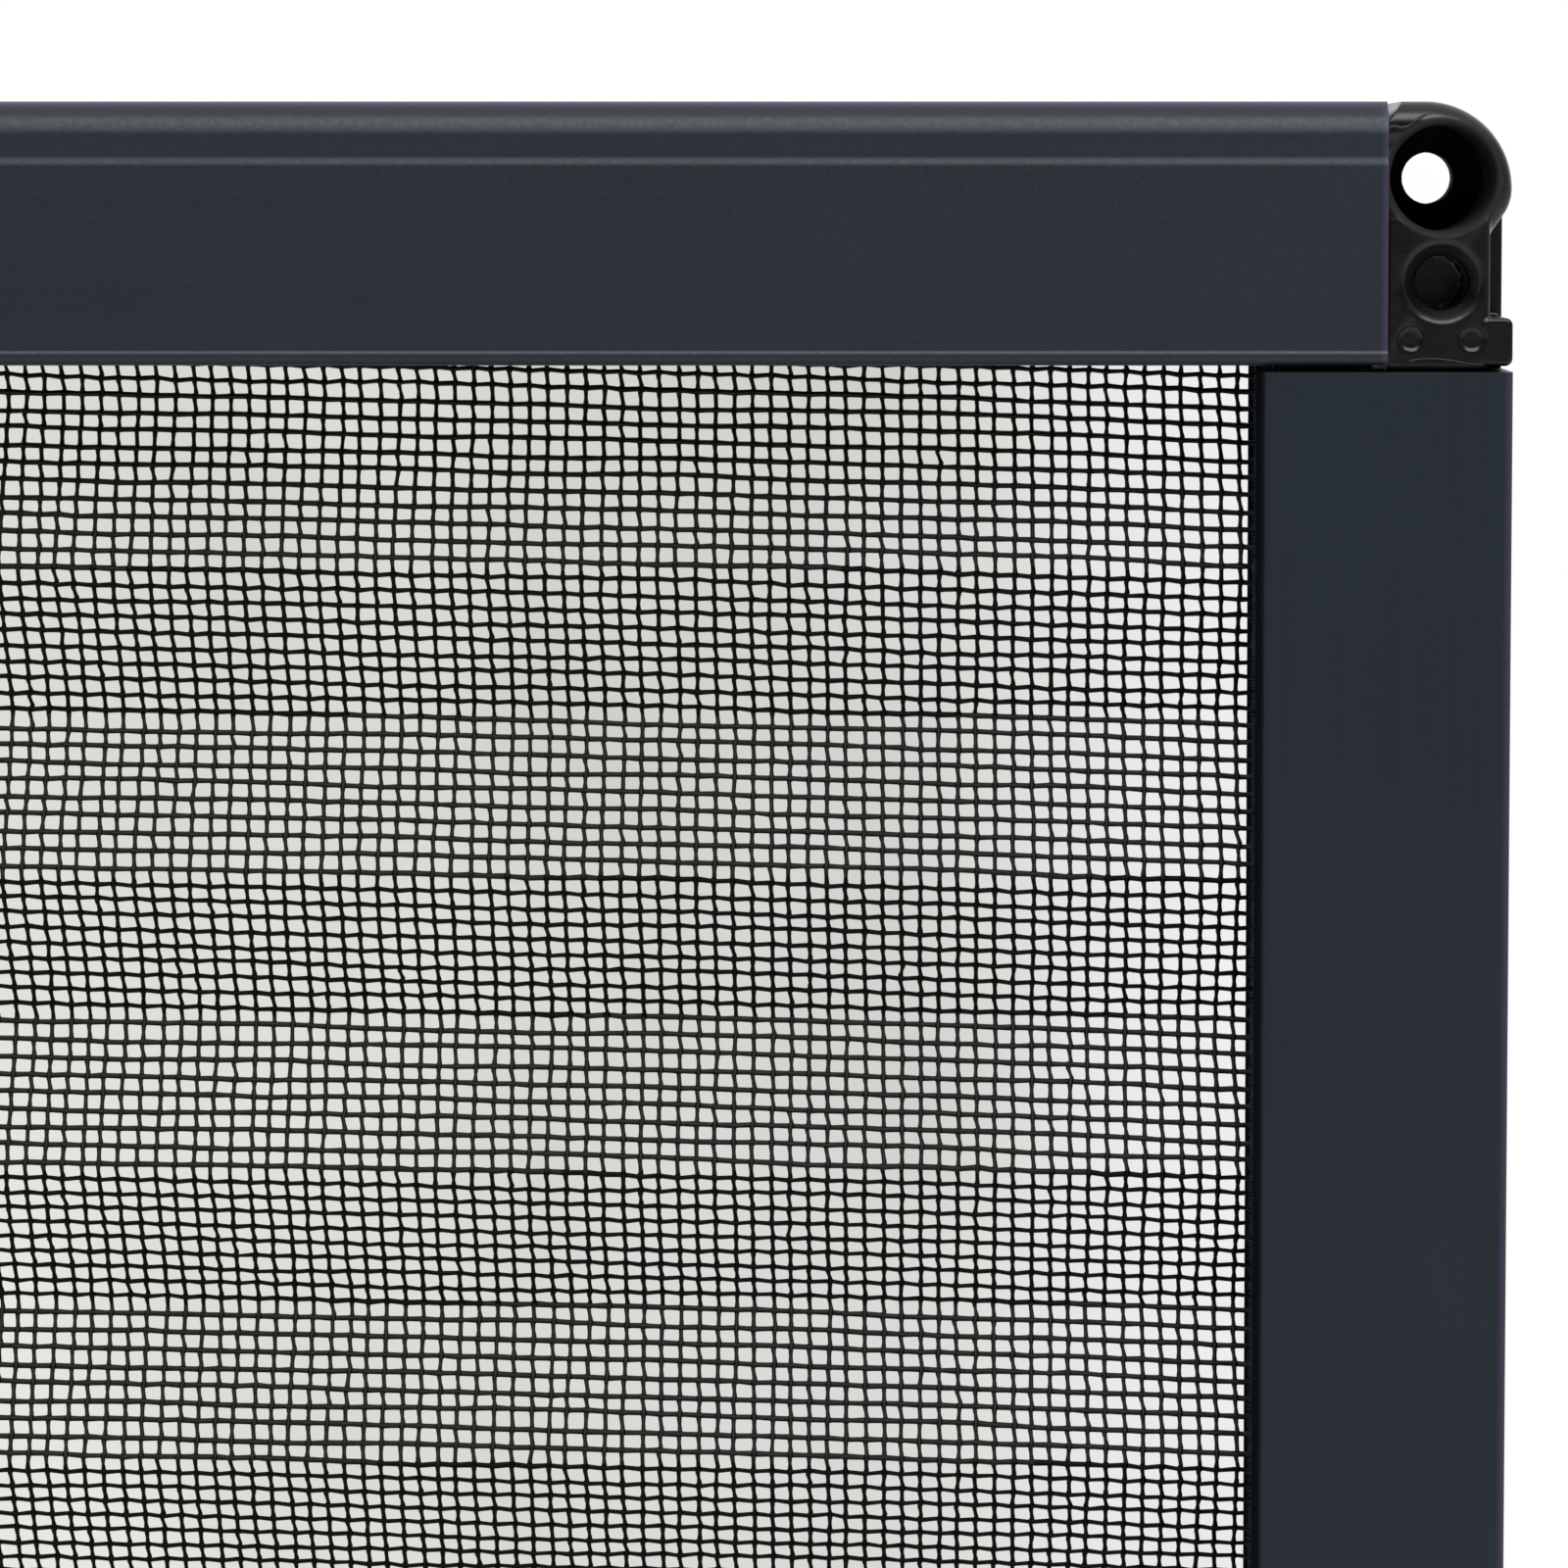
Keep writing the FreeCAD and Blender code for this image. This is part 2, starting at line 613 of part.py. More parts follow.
r_last = f_last - rise
bar_top = D["bar_top"] - TOP
tab_end = bar_top - 1.6
s = sketch(mesh, "mesh_bottom_edge", "YZ_Plane")
loop(
    s,
    (near, f_last + half_t),
    [
        ("to", far, r_last + half_t),
        ("to", far, r_last - half_t),
        ("to", -(MID - tab), r_last - half_t - (MID - tab - D["mesh_back"]) * steep),
        ("to", -(MID - tab), tab_end),
        ("to", -(MID + tab), tab_end),
        ("to", -(MID + tab), r_last + half_t - (MID + tab - D["mesh_back"]) * steep),
        ("to", crease, r_last),
        ("to", near, f_last - half_t),
        ("to", near, f_last + half_t),
    ],
)
pad(mesh, s, mesh_width, symmetric=True)


def strip(b, name, floor, mouth, grip, length, sign, notch=None, stand=0.0):
    """A T-shaped strip in a clamp slot. floor is the slot's closed side and mouth its open side, as
    heights; sign is -1 where the slot opens downwards. notch is how deep the mesh sits in it."""
    s_ = sketch(b, name, "YZ_Plane")
    wide, neck = D["slot_half"] - 0.2, D["mouth_half"] - 0.15
    foot = floor + sign * 0.15
    shoulder = foot + sign * (D["slot_deep"] - 0.3)
    end = mouth + sign * stand
    edges = [("to", -(MID - wide), foot), ("to", -(MID - wide), shoulder), ("to", -(MID - neck), shoulder)]
    if notch is None:
        edges += [("to", -(MID - neck), end), ("to", -(MID + neck), end)]
    else:
        edges += [
            ("to", -(MID - neck), end),
            ("to", -(MID - grip), end),
            ("to", -(MID - grip), end - sign * notch),
            ("to", -(MID + grip), end - sign * notch),
            ("to", -(MID + grip), end),
            ("to", -(MID + neck), end),
        ]
    edges += [("to", -(MID + neck), shoulder), ("to", -(MID + wide), shoulder), ("to", -(MID + wide), foot)]
    loop(s_, (-(MID + wide), foot), edges)
    return pad(b, s_, length, symmetric=True)


grip = D["mesh_tab"] / 2 + 0.08
clamp = body("mesh_clamp_top")
strip(clamp, "clamp_top_section", TOP - web_under, TOP - slot_out, grip, RAIL_END * 2 - 4, -1, notch=dim(1.9))

# ---- pull bar: one extrusion, with the mesh's slot on top and two slots underneath ----
bar = body("pull_bar")
bar_half = GUIDE_IN - D["bar_gap"]
bw, bf, bb = D["bar_wall"], D["bar_front"], D["bar_back"]
bar_bottom = bar_top - D["bar_height"]
upper_floor = bar_top - D["lip"] - D["slot_deep"]
lower_floor = bar_bottom + D["lip"] + D["slot_deep"]
seal_mid = 12.7
s = sketch(bar, "bar_section", "YZ_Plane")


def slot_below(mid):
    """The five corners on each side of a slot that opens downwards, from the back to the front."""
    mid = dim(mid)
    return [
        ("to", -(mid - D["mouth_half"]), bar_bottom),
        ("to", -(mid - D["mouth_half"]), bar_bottom + D["lip"]),
        ("to", -(mid - D["slot_half"]), bar_bottom + D["lip"]),
        ("to", -(mid - D["slot_half"]), lower_floor),
        ("to", -(mid + D["slot_half"]), lower_floor),
        ("to", -(mid + D["slot_half"]), bar_bottom + D["lip"]),
        ("to", -(mid + D["mouth_half"]), bar_bottom + D["lip"]),
        ("to", -(mid + D["mouth_half"]), bar_bottom),
    ]


loop(
    s,
    (-bb, bar_top - 0.5),
    [("to", -bb, bar_bottom)]
    + slot_below(MID)
    + slot_below(seal_mid)
    + [
        ("to", -(bf - 0.5), bar_bottom),
        ("arc", -bf, bar_bottom + 0.5, 0.5, 1),
        ("to", -bf, bar_top - 1.5),
        ("arc", -(bf - 1.5), bar_top, 1.5, 1),
        ("to", -(MID + D["mouth_half"]), bar_top),
        ("to", -(MID + D["mouth_half"]), bar_top - D["lip"]),
        ("to", -(MID + D["slot_half"]), bar_top - D["lip"]),
        ("to", -(MID + D["slot_half"]), upper_floor),
        ("to", -(MID - D["slot_half"]), upper_floor),
        ("to", -(MID - D["slot_half"]), bar_top - D["lip"]),
        ("to", -(MID - D["mouth_half"]), bar_top - D["lip"]),
        ("to", -(MID - D["mouth_half"]), bar_top),
        ("to", -(bb + 0.5), bar_top),
        ("arc", -bb, bar_top - 0.5, 0.5, 1),
    ],
)
hollow_top, hollow_low = upper_floor - bw, lower_floor + bw
box(s, -(bf - bw), hollow_low, -(bb + bw), hollow_top)
pad(bar, s, bar_half * 2, symmetric=True)
screw_up = bar_top - D["screw_down"]
for side in (-1, 1):
    s = sketch(bar, "bar_screw_hole_%s" % ("left" if side < 0 else "right"), "XZ_Plane", bf - bw * 2)
    ring(s, D["screw_across"] * side, screw_up, D["shank_radius"])
    pocket(bar, s, bw * 3, reverse=True)

clamp = body("mesh_clamp_bottom")
strip(clamp, "clamp_bottom_section", upper_floor, bar_top, grip, bar_half * 2 - 2, 1, notch=dim(2.1))
strip_bar = body("bar_magnet")
strip(strip_bar, "bar_magnet_section", lower_floor, bar_bottom, grip, bar_half * 2 - 2, -1, stand=0.2)
strip_sill = body("sill_magnet")
strip(
    strip_sill,
    "sill_magnet_section",
    web_under - TOP,
    slot_out - TOP,
    grip,
    RAIL_END * 2 - 4,
    1,
    stand=0.2,
)

# ---- pile strip under the pull bar ----
seal = body("bar_seal")
s = sketch(seal, "bar_seal_section", "YZ_Plane")
seal_wide, seal_root = D["slot_half"] - 0.2, D["mouth_half"] - 0.15
seal_mid = dim(seal_mid)
pile_low = web_under - TOP + 0.3
loop(
    s,
    (-(seal_mid - seal_wide), lower_floor - 0.15),
    [
        ("to", -(seal_mid - seal_wide), lower_floor - 0.95),
        ("to", -(seal_mid - seal_root), lower_floor - 0.95),
        ("to", -(seal_mid - seal_root), bar_bottom - 0.1),
        ("to", -(seal_mid - 1.7), pile_low),
        ("to", -(seal_mid + 1.7), pile_low),
        ("to", -(seal_mid + seal_root), bar_bottom - 0.1),
        ("to", -(seal_mid + seal_root), lower_floor - 0.95),
        ("to", -(seal_mid + seal_wide), lower_floor - 0.95),
        ("to", -(seal_mid + seal_wide), lower_floor - 0.15),
        ("to", -(seal_mid - seal_wide), lower_floor - 0.15),
    ],
)
pad(seal, s, bar_half * 2 - 2, symmetric=True)

# ---- end of the pull bar: plate, plug in the bar's hollow, and the shoe that runs in the guide ----
end = body("bar_end_right")
s = sketch(end, "bar_end_plate", "YZ_Plane", bar_half)
loop(
    s,
    (-bb, bar_top - 0.5),
    [
        ("to", -bb, bar_bottom + 0.5),
        ("arc", -(bb + 0.5), bar_bottom, 0.5, 1),
        ("to", -(bf - 0.5), bar_bottom),
        ("arc", -bf, bar_bottom + 0.5, 0.5, 1),
        ("to", -bf, bar_top - 1.5),
        ("arc", -(bf - 1.5), bar_top, 1.5, 1),
        ("to", -(bb + 0.5), bar_top),
        ("arc", -bb, bar_top - 0.5, 0.5, 1),
    ],
)
pad(end, s, dim(1.4))
s = sketch(end, "bar_end_mesh_notch", "YZ_Plane", bar_half)
box(s, -(MID + 0.7), bar_top - 2, -(MID - 0.7), bar_top + 1)
pocket(end, s, dim(2.0), reverse=True)
s = sketch(end, "bar_end_plug", "YZ_Plane", bar_half)
box(s, -(bf - bw - 0.25), hollow_low + 0.25, -(bb + bw + 0.25), hollow_top - 0.25)
pad(end, s, dim(12.0), reverse=True)
s = sketch(end, "bar_end_plug_core", "YZ_Plane", bar_half - 12)
box(s, -(bf - bw - 1.85), hollow_low + 1.85, -(bb + bw + 1.85), hollow_top - 1.85)
pocket(end, s, dim(11.0), reverse=True)
s = sketch(end, "bar_end_shoe", "YZ_Plane", bar_half + 1.4)
loop(
    s,
    (-(D["mesh_back"] - 0.1), bar_top - 4),
    [
        ("to", -(D["mesh_back"] - 0.1), bar_bottom + 3),
        ("arc", -(D["mesh_back"] + 1.9), bar_bottom + 1, 2, 1),
        ("to", -(D["mesh_front"] - 2.1), bar_bottom + 1),
        ("arc", -(D["mesh_front"] - 0.1), bar_bottom + 3, 2, 1),
        ("to", -(D["mesh_front"] - 0.1), bar_top - 4),
        ("arc", -(D["mesh_front"] - 2.1), bar_top - 2, 2, 1),
        ("to", -(D["mesh_back"] + 1.9), bar_top - 2),
        ("arc", -(D["mesh_back"] - 0.1), bar_top - 4, 2, 1),
    ],
)
pad(end, s, D["bar_gap"] - 1.4 + 9.0)
mirrored("bar_end_left", end, Vector(1, 0, 0))

# ---- finger grip on the front of the bar: a plate with a ledge that the fingers push up or down ----
handle = body("pull_handle")
s = sketch(handle, "grip_section", "YZ_Plane")
plate, tip = bf + 2.4, bf + D["grip_reach"]
grip_top, grip_low = bar_top - 1.8, bar_top - 14.8
loop(
    s,
    (-bf, grip_top),
    [
        ("to", -bf, grip_low),
        ("to", -(plate - 0.8), grip_low),
        ("arc", -plate, grip_low + 0.8, 0.8, 1),
        ("to", -plate, grip_top - 3.4),
        ("arc", -(plate + 1.0), grip_top - 2.4, 1.0, -1),
        ("to", -(tip - 2.6), grip_top - 2.4),
        ("arc", -(tip - 1.8), grip_top - 3.2, 0.8, -1),
        ("to", -(tip - 1.8), grip_top - 5.0),
        ("arc", -tip, grip_top - 5.0, 1.0, 1),
        ("to", -tip, grip_top - 2.4),
        ("arc", -(tip - 2.4), grip_top, 2.4, 1),
        ("to", -bf, grip_top),
    ],
)
grip_pad = pad(handle, s, D["handle_half"] * 2, symmetric=True)


def ends_at(e, up, forward=None):
    """Whether a straight edge at the grip's left or right end has its middle at that place."""
    m = e.valueAt((e.FirstParameter + e.LastParameter) / 2)
    return (
        abs(abs(m.x) - D["handle_half"].value) < 1e-4
        and abs(m.z - up) < 1e-4
        and (forward is None or abs(m.y + forward) < 1e-4)
    )


def grip_tip(e):
    return ends_at(e, (grip_top - 3.7).value, tip.value)


grip_pad = dress(handle, "Fillet", grip_pad, edges_where(grip_pad.Shape, grip_tip), "Radius", dim(1.6), "grip_tip_round")
for side in (-1, 1):
    word = "left" if side < 0 else "right"
    s = sketch(handle, "grip_corner_%s" % word, "XZ_Plane")
    corner = D["handle_half"] * side
    loop(
        s,
        (corner - 2.5 * side, grip_low),
        [
            ("arc", corner, grip_low + 2.5, 2.5, -side),
            ("to", corner + side, grip_low + 2.5),
            ("to", corner + side, grip_low - 1),
            ("to", corner - 2.5 * side, grip_low - 1),
            ("to", corner - 2.5 * side, grip_low),
        ],
    )
    pocket(handle, s, tip + 1, reverse=True)
    s = sketch(handle, "grip_hole_%s" % word, "XZ_Plane", bf - 1)
    ring(s, D["screw_across"] * side, screw_up, D["shank_radius"] + 0.2)
    pocket(handle, s, dim(4.0), reverse=True)
    s = sketch(handle, "grip_sink_%s" % word, "XZ_Plane", plate)
    ring(s, D["screw_across"] * side, screw_up, D["screw_head_radius"] + 0.2)
    cut = pocket(handle, s, dim(1.55))
    cut.TaperAngle = -42
    doc.recompute()

# ---- the grip's two countersunk screws: turned, with a cross recess ----
screw = doc.addObject("PartDesign::Body", "grip_screw")
s = screw.newObject("Sketcher::SketchObject", "screw_half_section")
s.AttachmentSupport = [(plane(screw, "XY_Plane"), "")]
s.MapMode = "FlatFace"
s.AttachmentOffset = Placement(Vector(D["screw_across"].value, 0, screw_up.value), Rotation())
s.setExpression("AttachmentOffset.Base.x", D["screw_across"].text)
s.setExpression("AttachmentOffset.Base.z", screw_up.text)
r_shank, r_head = D["shank_radius"], D["screw_head_radius"]
head_at, tip_at = -(plate - 0.05), -(bf - 7.5)
loop(
    s,
    (0, head_at),
    [
        ("to", r_head, head_at),
        ("to", r_head, head_at + 0.1),
        ("to", r_shank, head_at + 0.1 + (r_head - r_shank)),
        ("to", r_shank, tip_at - 1.5),
        ("to", 0.25, tip_at),
        ("to", 0, tip_at),
        ("to", 0, head_at),
    ],
)
turned = screw.newObject("PartDesign::Revolution", "screw_turned")
turned.Profile = s
turned.ReferenceAxis = (s, ["V_Axis"])
turned.Angle = 360
s.Visibility = False
doc.recompute()
for i, (wide, tall) in enumerate(((3.0, 0.7), (0.7, 3.0))):
    s = sketch(screw, "recess_arm_%d" % (i + 1), "XZ_Plane", -head_at)
    across = D["screw_across"]
    box(s, across - wide / 2, screw_up - tall / 2, across + wide / 2, screw_up + tall / 2)
    pocket(screw, s, dim(1.0))
other = doc.addObject("Part::Mirroring", "grip_screw_mirrored")
other.Source, other.Normal, other.Base = screw, Vector(1, 0, 0), Vector(0, 0, 0)
screws = doc.addObject("Part::Compound", "handle_screws")
screws.Label = "handle_screws"
screws.Links = [other, screw]
made.append(("handle_screws", screws))

doc.recompute()

# ---- nothing is written unless every object is sound ----
faults = []
for o in doc.Objects:
    if any(word in ("Invalid", "Error") for word in o.State):
        faults.append("%s is %s" % (o.Name, o.State))
for name, o in made:
    shape = o.Shape
    if shape.isNull() or not shape.isValid() or not shape.Solids or shape.Volume <= 0:
        faults.append("%s has no valid solid" % name)
    if o.Label != name:
        faults.append("%s is labelled %s" % (name, o.Label))
for o in doc.Objects:
    if o.TypeId == "Sketcher::SketchObject" and not o.FullyConstrained:
        faults.append("%s isn't fully constrained" % o.Name)
if faults:
    raise RuntimeError("; ".join(faults))

os.makedirs("parts", exist_ok=True)
for name, o in made:
    o.Shape.exportStep("parts/%s.step" % name)
    b_ = o.Shape.BoundBox
    print(
        "%-26s solids %d  volume %10.1f  x %8.2f %8.2f  y %7.2f %7.2f  z %8.2f %8.2f"
        % (name, len(o.Shape.Solids), o.Shape.Volume, b_.XMin, b_.XMax, b_.YMin, b_.YMax, b_.ZMin, b_.ZMax)
    )
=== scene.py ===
import math

import bmesh
import bpy
import numpy as np
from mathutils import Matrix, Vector
from mathutils.geometry import tessellate_polygon


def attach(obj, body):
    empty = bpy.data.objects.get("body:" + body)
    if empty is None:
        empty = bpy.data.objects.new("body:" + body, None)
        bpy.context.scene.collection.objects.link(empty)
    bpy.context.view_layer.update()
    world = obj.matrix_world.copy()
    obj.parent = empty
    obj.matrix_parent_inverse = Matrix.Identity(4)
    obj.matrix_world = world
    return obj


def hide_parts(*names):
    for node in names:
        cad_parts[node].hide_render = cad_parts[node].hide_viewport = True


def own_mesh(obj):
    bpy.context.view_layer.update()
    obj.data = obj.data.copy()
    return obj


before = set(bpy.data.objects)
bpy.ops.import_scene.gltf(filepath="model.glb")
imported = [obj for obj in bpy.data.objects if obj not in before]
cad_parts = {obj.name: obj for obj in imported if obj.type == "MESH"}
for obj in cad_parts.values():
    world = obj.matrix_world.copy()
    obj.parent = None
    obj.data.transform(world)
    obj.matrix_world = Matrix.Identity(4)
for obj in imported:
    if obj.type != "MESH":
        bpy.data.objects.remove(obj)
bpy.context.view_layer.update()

# Metres, in the frame of the CAD model: X across the screen, Z up, the visible front towards -Y.
scene = bpy.context.scene
scene.view_settings.view_transform = "Standard"
scene.view_settings.look = "None"
scene.view_settings.exposure = 0.0
scene.view_settings.gamma = 1.0

# ------------------------------------------------------------------ camera
cam_data = bpy.data.cameras.new("camera")
cam = bpy.data.objects.new("camera", cam_data)
scene.collection.objects.link(cam)
scene.camera = cam
cam.location = (0.3046434, -0.4655924, 0.2942124)
cam.rotation_euler = (math.radians(90 - 4.513), 0.0, 0.0)
cam_data.sensor_width = 36.0
cam_data.lens = 5863.8 / 1600 * 36.0
cam_data.shift_x = -0.0932
cam_data.shift_y = -0.0985
cam_data.clip_start, cam_data.clip_end = 0.01, 200.0


# ------------------------------------------------------------------ materials
def material(name):
    m = bpy.data.materials.new(name)
    m.use_nodes = True
    nt = m.node_tree
    return m, nt, nt.nodes["Principled BSDF"]


def coords(nt):
    """Object coordinates: the row frame, because every piece's object sits at the origin."""
    return nt.nodes.new("ShaderNodeTexCoord").outputs["Object"]


def stretch(nt, vector, x, y, z):
    m = nt.nodes.new("ShaderNodeMapping")
    m.inputs["Scale"].default_value = (x, y, z)
    nt.links.new(vector, m.inputs["Vector"])
    return m.outputs["Vector"]


def noise(nt, vector, scale, detail=3.0, rough=0.55):
    n = nt.nodes.new("ShaderNodeTexNoise")
    n.inputs["Scale"].default_value = scale
    n.inputs["Detail"].default_value = detail
    n.inputs["Roughness"].default_value = rough
    nt.links.new(vector, n.inputs["Vector"])
    return n.outputs["Fac"]


def ramp(nt, fac, stops):
    r = nt.nodes.new("ShaderNodeValToRGB")
    e = r.color_ramp.elements
    while len(e) < len(stops):
        e.new(0.5)
    for k, (at, colour) in zip(e, stops):
        k.position = at
        k.color = (*colour, 1.0) if len(colour) == 3 else colour
    nt.links.new(fac, r.inputs["Fac"])
    return r.outputs["Color"]


def span(nt, fac, low, high, a=0.0, b=1.0):
    m = nt.nodes.new("ShaderNodeMapRange")
    m.inputs["From Min"].default_value, m.inputs["From Max"].default_value = low, high
    m.inputs["To Min"].default_value, m.inputs["To Max"].default_value = a, b
    nt.links.new(fac, m.inputs["Value"])
    return m.outputs["Result"]


def mix(nt, fac, a, b, kind="MIX"):
    m = nt.nodes.new("ShaderNodeMix")
    m.data_type = "RGBA"
    m.blend_type = kind
    for socket, value in ((m.inputs["Factor"], fac), (m.inputs[6], a), (m.inputs[7], b)):
        if isinstance(value, bpy.types.NodeSocket):
            nt.links.new(value, socket)
        elif isinstance(value, (int, float)):
            socket.default_value = value
        else:
            socket.default_value = (*value, 1.0)
    return m.outputs[2]


def bump(nt, bsdf, height, distance, strength=1.0, under=None):
    b = nt.nodes.new("ShaderNodeBump")
    b.inputs["Distance"].default_value = distance
    b.inputs["Strength"].default_value = strength
    nt.links.new(height, b.inputs["Height"])
    if under is not None:
        nt.links.new(under, b.inputs["Normal"])
    nt.links.new(b.outputs["Normal"], bsdf.inputs["Normal"])
    return b.outputs["Normal"]


def beyond(nt, vector, axis, start, full):
    """0 to 1 as the distance from the middle plane of that axis goes from start to full (metres)."""
    s = nt.nodes.new("ShaderNodeSeparateXYZ")
    nt.links.new(vector, s.inputs["Vector"])
    a = nt.nodes.new("ShaderNodeMath")
    a.operation = "ABSOLUTE"
    nt.links.new(s.outputs[axis], a.inputs[0])
    return span(nt, a.outputs[0], start, full)


def powder_coat(name, base, along, painted_sheen_edges, painted_shade_matt_band=None, level=0.40):
    """Anthracite powder coat: a fine orange-peel texture, faint die lines along the extrusion and a
    lighter violet tone along the listed edges, a painted edge sheen. The face beside the mesh is painted darker, a
    painted shade, and made matt."""
    m, nt, p = material(name)
    c = coords(nt)
    peel = noise(nt, c, 2600.0, 2.0, 0.5)
    cloud = noise(nt, c, 60.0, 3.0)
    sx, sy, sz = along
    die = noise(nt, stretch(nt, c, sx, sy, sz), 1.0, 2.0)
    tone = mix(nt, span(nt, cloud, 0.3, 0.7), [k * 0.93 for k in base], [k * 1.07 for k in base])
    tone = mix(nt, span(nt, die, 0.35, 0.65, 0.0, 0.5), tone, [k * 1.12 for k in base])
    # each entry paints a lighter violet edge sheen, a painted highlight along that edge; thin is its mask
    for axis, start, full, share, y_start, y_full in painted_sheen_edges:
        thin = nt.nodes.new("ShaderNodeMath")
        thin.operation = "MULTIPLY"
        nt.links.new(beyond(nt, c, axis, start, full), thin.inputs[0])
        nt.links.new(beyond(nt, c, "Y", y_start, y_full), thin.inputs[1])
        tone = mix(nt, span(nt, thin.outputs[0], 0.0, 1.0, 0.0, share), tone, PAINTED_EDGE_SHEEN)
    rough = span(nt, peel, 0.3, 0.7, 0.33, 0.44)
    if painted_shade_matt_band:
        # painted shade: the face beside the mesh is darkened to 0.55 of the coat, and also made matt with little gloss
        painted_shade_matt = beyond(nt, c, "X", *painted_shade_matt_band)
        tone = mix(nt, painted_shade_matt, tone, [k * 0.55 for k in base])
        nt.links.new(span(nt, painted_shade_matt, 0.0, 1.0, level, 0.0), p.inputs["Specular IOR Level"])
        rough = mix(nt, painted_shade_matt, rough, (0.95, 0.95, 0.95))
    else:
        p.inputs["Specular IOR Level"].default_value = level
    nt.links.new(tone, p.inputs["Base Color"])
    nt.links.new(rough, p.inputs["Roughness"])
    n1 = bump(nt, p, peel, 0.00002, 0.35)
    bump(nt, p, die, 0.00002, 0.25, n1)
    return m


COAT = (0.0185, 0.0250, 0.0340)
# a lighter violet, painted along edges as a painted edge sheen
PAINTED_EDGE_SHEEN = (0.075, 0.052, 0.110)
# the edge tables (axis, start, full, share, y start, y full) say where the painted violet edge sheen goes
coat_x = powder_coat(
    "powder_coat_along_x", COAT, (6.0, 900.0, 900.0),
    [("X", 0.3396, 0.3401, 0.75, 0.0120, 0.0150), ("Z", 0.29950, 0.29975, 0.9, 0.0120, 0.0150)],
)
coat_z = powder_coat(
    "powder_coat_along_z", COAT, (900.0, 900.0, 6.0), [("X", 0.34925, 0.3497, 0.6, 0.0178, 0.0184)],
    # the guide's face beside the mesh: painted shade, matt and with less gloss
    (0.3308, 0.33055), 0.26,
)
coat_bar = powder_coat(
    "powder_coat_bar", COAT, (6.0, 900.0, 900.0), [("X", 0.3262, 0.3269, 0.5, 0.0120, 0.0150)]
)


def moulded(name, base, low, high, matt_bore_painted_light=False):
    m, nt, p = material(name)
    c = coords(nt)
    grain = noise(nt, c, 3400.0, 2.0, 0.6)
    flow = noise(nt, c, 220.0, 4.0, 0.6)
    tone = mix(nt, span(nt, flow, 0.3, 0.7), [k * 0.85 for k in base], [k * 1.25 for k in base])
    rough = span(nt, flow, 0.25, 0.75, low, high)
    if matt_bore_painted_light:
        # the screw's well is spark eroded, so matt, and its wall is given a lighter grey, painted light standing in for
        # the light inside the well; inside is how far inside its wall a point lies, the same in all four corners
        fold = nt.nodes.new("ShaderNodeVectorMath")
        fold.operation = "ABSOLUTE"
        nt.links.new(c, fold.inputs[0])
        flat = nt.nodes.new("ShaderNodeVectorMath")
        flat.operation = "MULTIPLY"
        flat.inputs[1].default_value = (1.0, 0.0, 1.0)
        nt.links.new(fold.outputs[0], flat.inputs[0])
        away = nt.nodes.new("ShaderNodeVectorMath")
        away.operation = "DISTANCE"
        away.inputs[1].default_value = (0.34455, 0.0, 0.29405)
        nt.links.new(flat.outputs[0], away.inputs[0])
        inside = span(nt, away.outputs["Value"], 0.00485, 0.00425)
        rough = mix(nt, inside, rough, (0.95, 0.95, 0.95))
        # painted light: the well's wall is lifted from the cap's black to a grey, as if lit inside
        tone = mix(nt, inside, tone, (0.030, 0.030, 0.030))
        nt.links.new(span(nt, inside, 0.0, 1.0, 0.55, 0.10), p.inputs["Specular IOR Level"])
    else:
        p.inputs["Specular IOR Level"].default_value = 0.5
    nt.links.new(tone, p.inputs["Base Color"])
    nt.links.new(rough, p.inputs["Roughness"])
    n1 = bump(nt, p, grain, 0.00001, 0.3)
    n2 = bump(nt, p, noise(nt, c, 950.0, 3.0, 0.65), 0.00005, 0.35, n1)
    bump(nt, p, flow, 0.00010, 0.35, n2)
    return m


# the caps' screw well: matt, with its painted light grey wall
cap_plastic = moulded("cap_plastic_black", (0.0014, 0.0014, 0.0014), 0.22, 0.33, True)
trim_plastic = moulded("trim_plastic_black", (0.0080, 0.0080, 0.0085), 0.38, 0.52)


def plain_metal(name):
    m, nt, p = material(name)
    c = coords(nt)
    lathe = noise(nt, stretch(nt, c, 200.0, 4000.0, 200.0), 1.0, 3.0)
    tone = mix(nt, span(nt, lathe, 0.3, 0.7), (0.30, 0.30, 0.31), (0.46, 0.46, 0.47))
    nt.links.new(tone, p.inputs["Base Color"])
    p.inputs["Metallic"].default_value = 1.0
    nt.links.new(span(nt, lathe, 0.3, 0.7, 0.26, 0.42), p.inputs["Roughness"])
    bump(nt, p, lathe, 0.00001, 0.3)
    return m


screw_steel = plain_metal("screw_zinc")


def magnet(name):
    m, nt, p = material(name)
    c = coords(nt)
    grit = noise(nt, c, 1800.0, 4.0, 0.7)
    tone = mix(nt, span(nt, grit, 0.3, 0.7), (0.016, 0.014, 0.012), (0.038, 0.034, 0.030))
    nt.links.new(tone, p.inputs["Base Color"])
    nt.links.new(span(nt, grit, 0.3, 0.7, 0.55, 0.8), p.inputs["Roughness"])
    bump(nt, p, grit, 0.00004, 0.4)
    return m


magnet_strip = magnet("magnet_strip_brown")


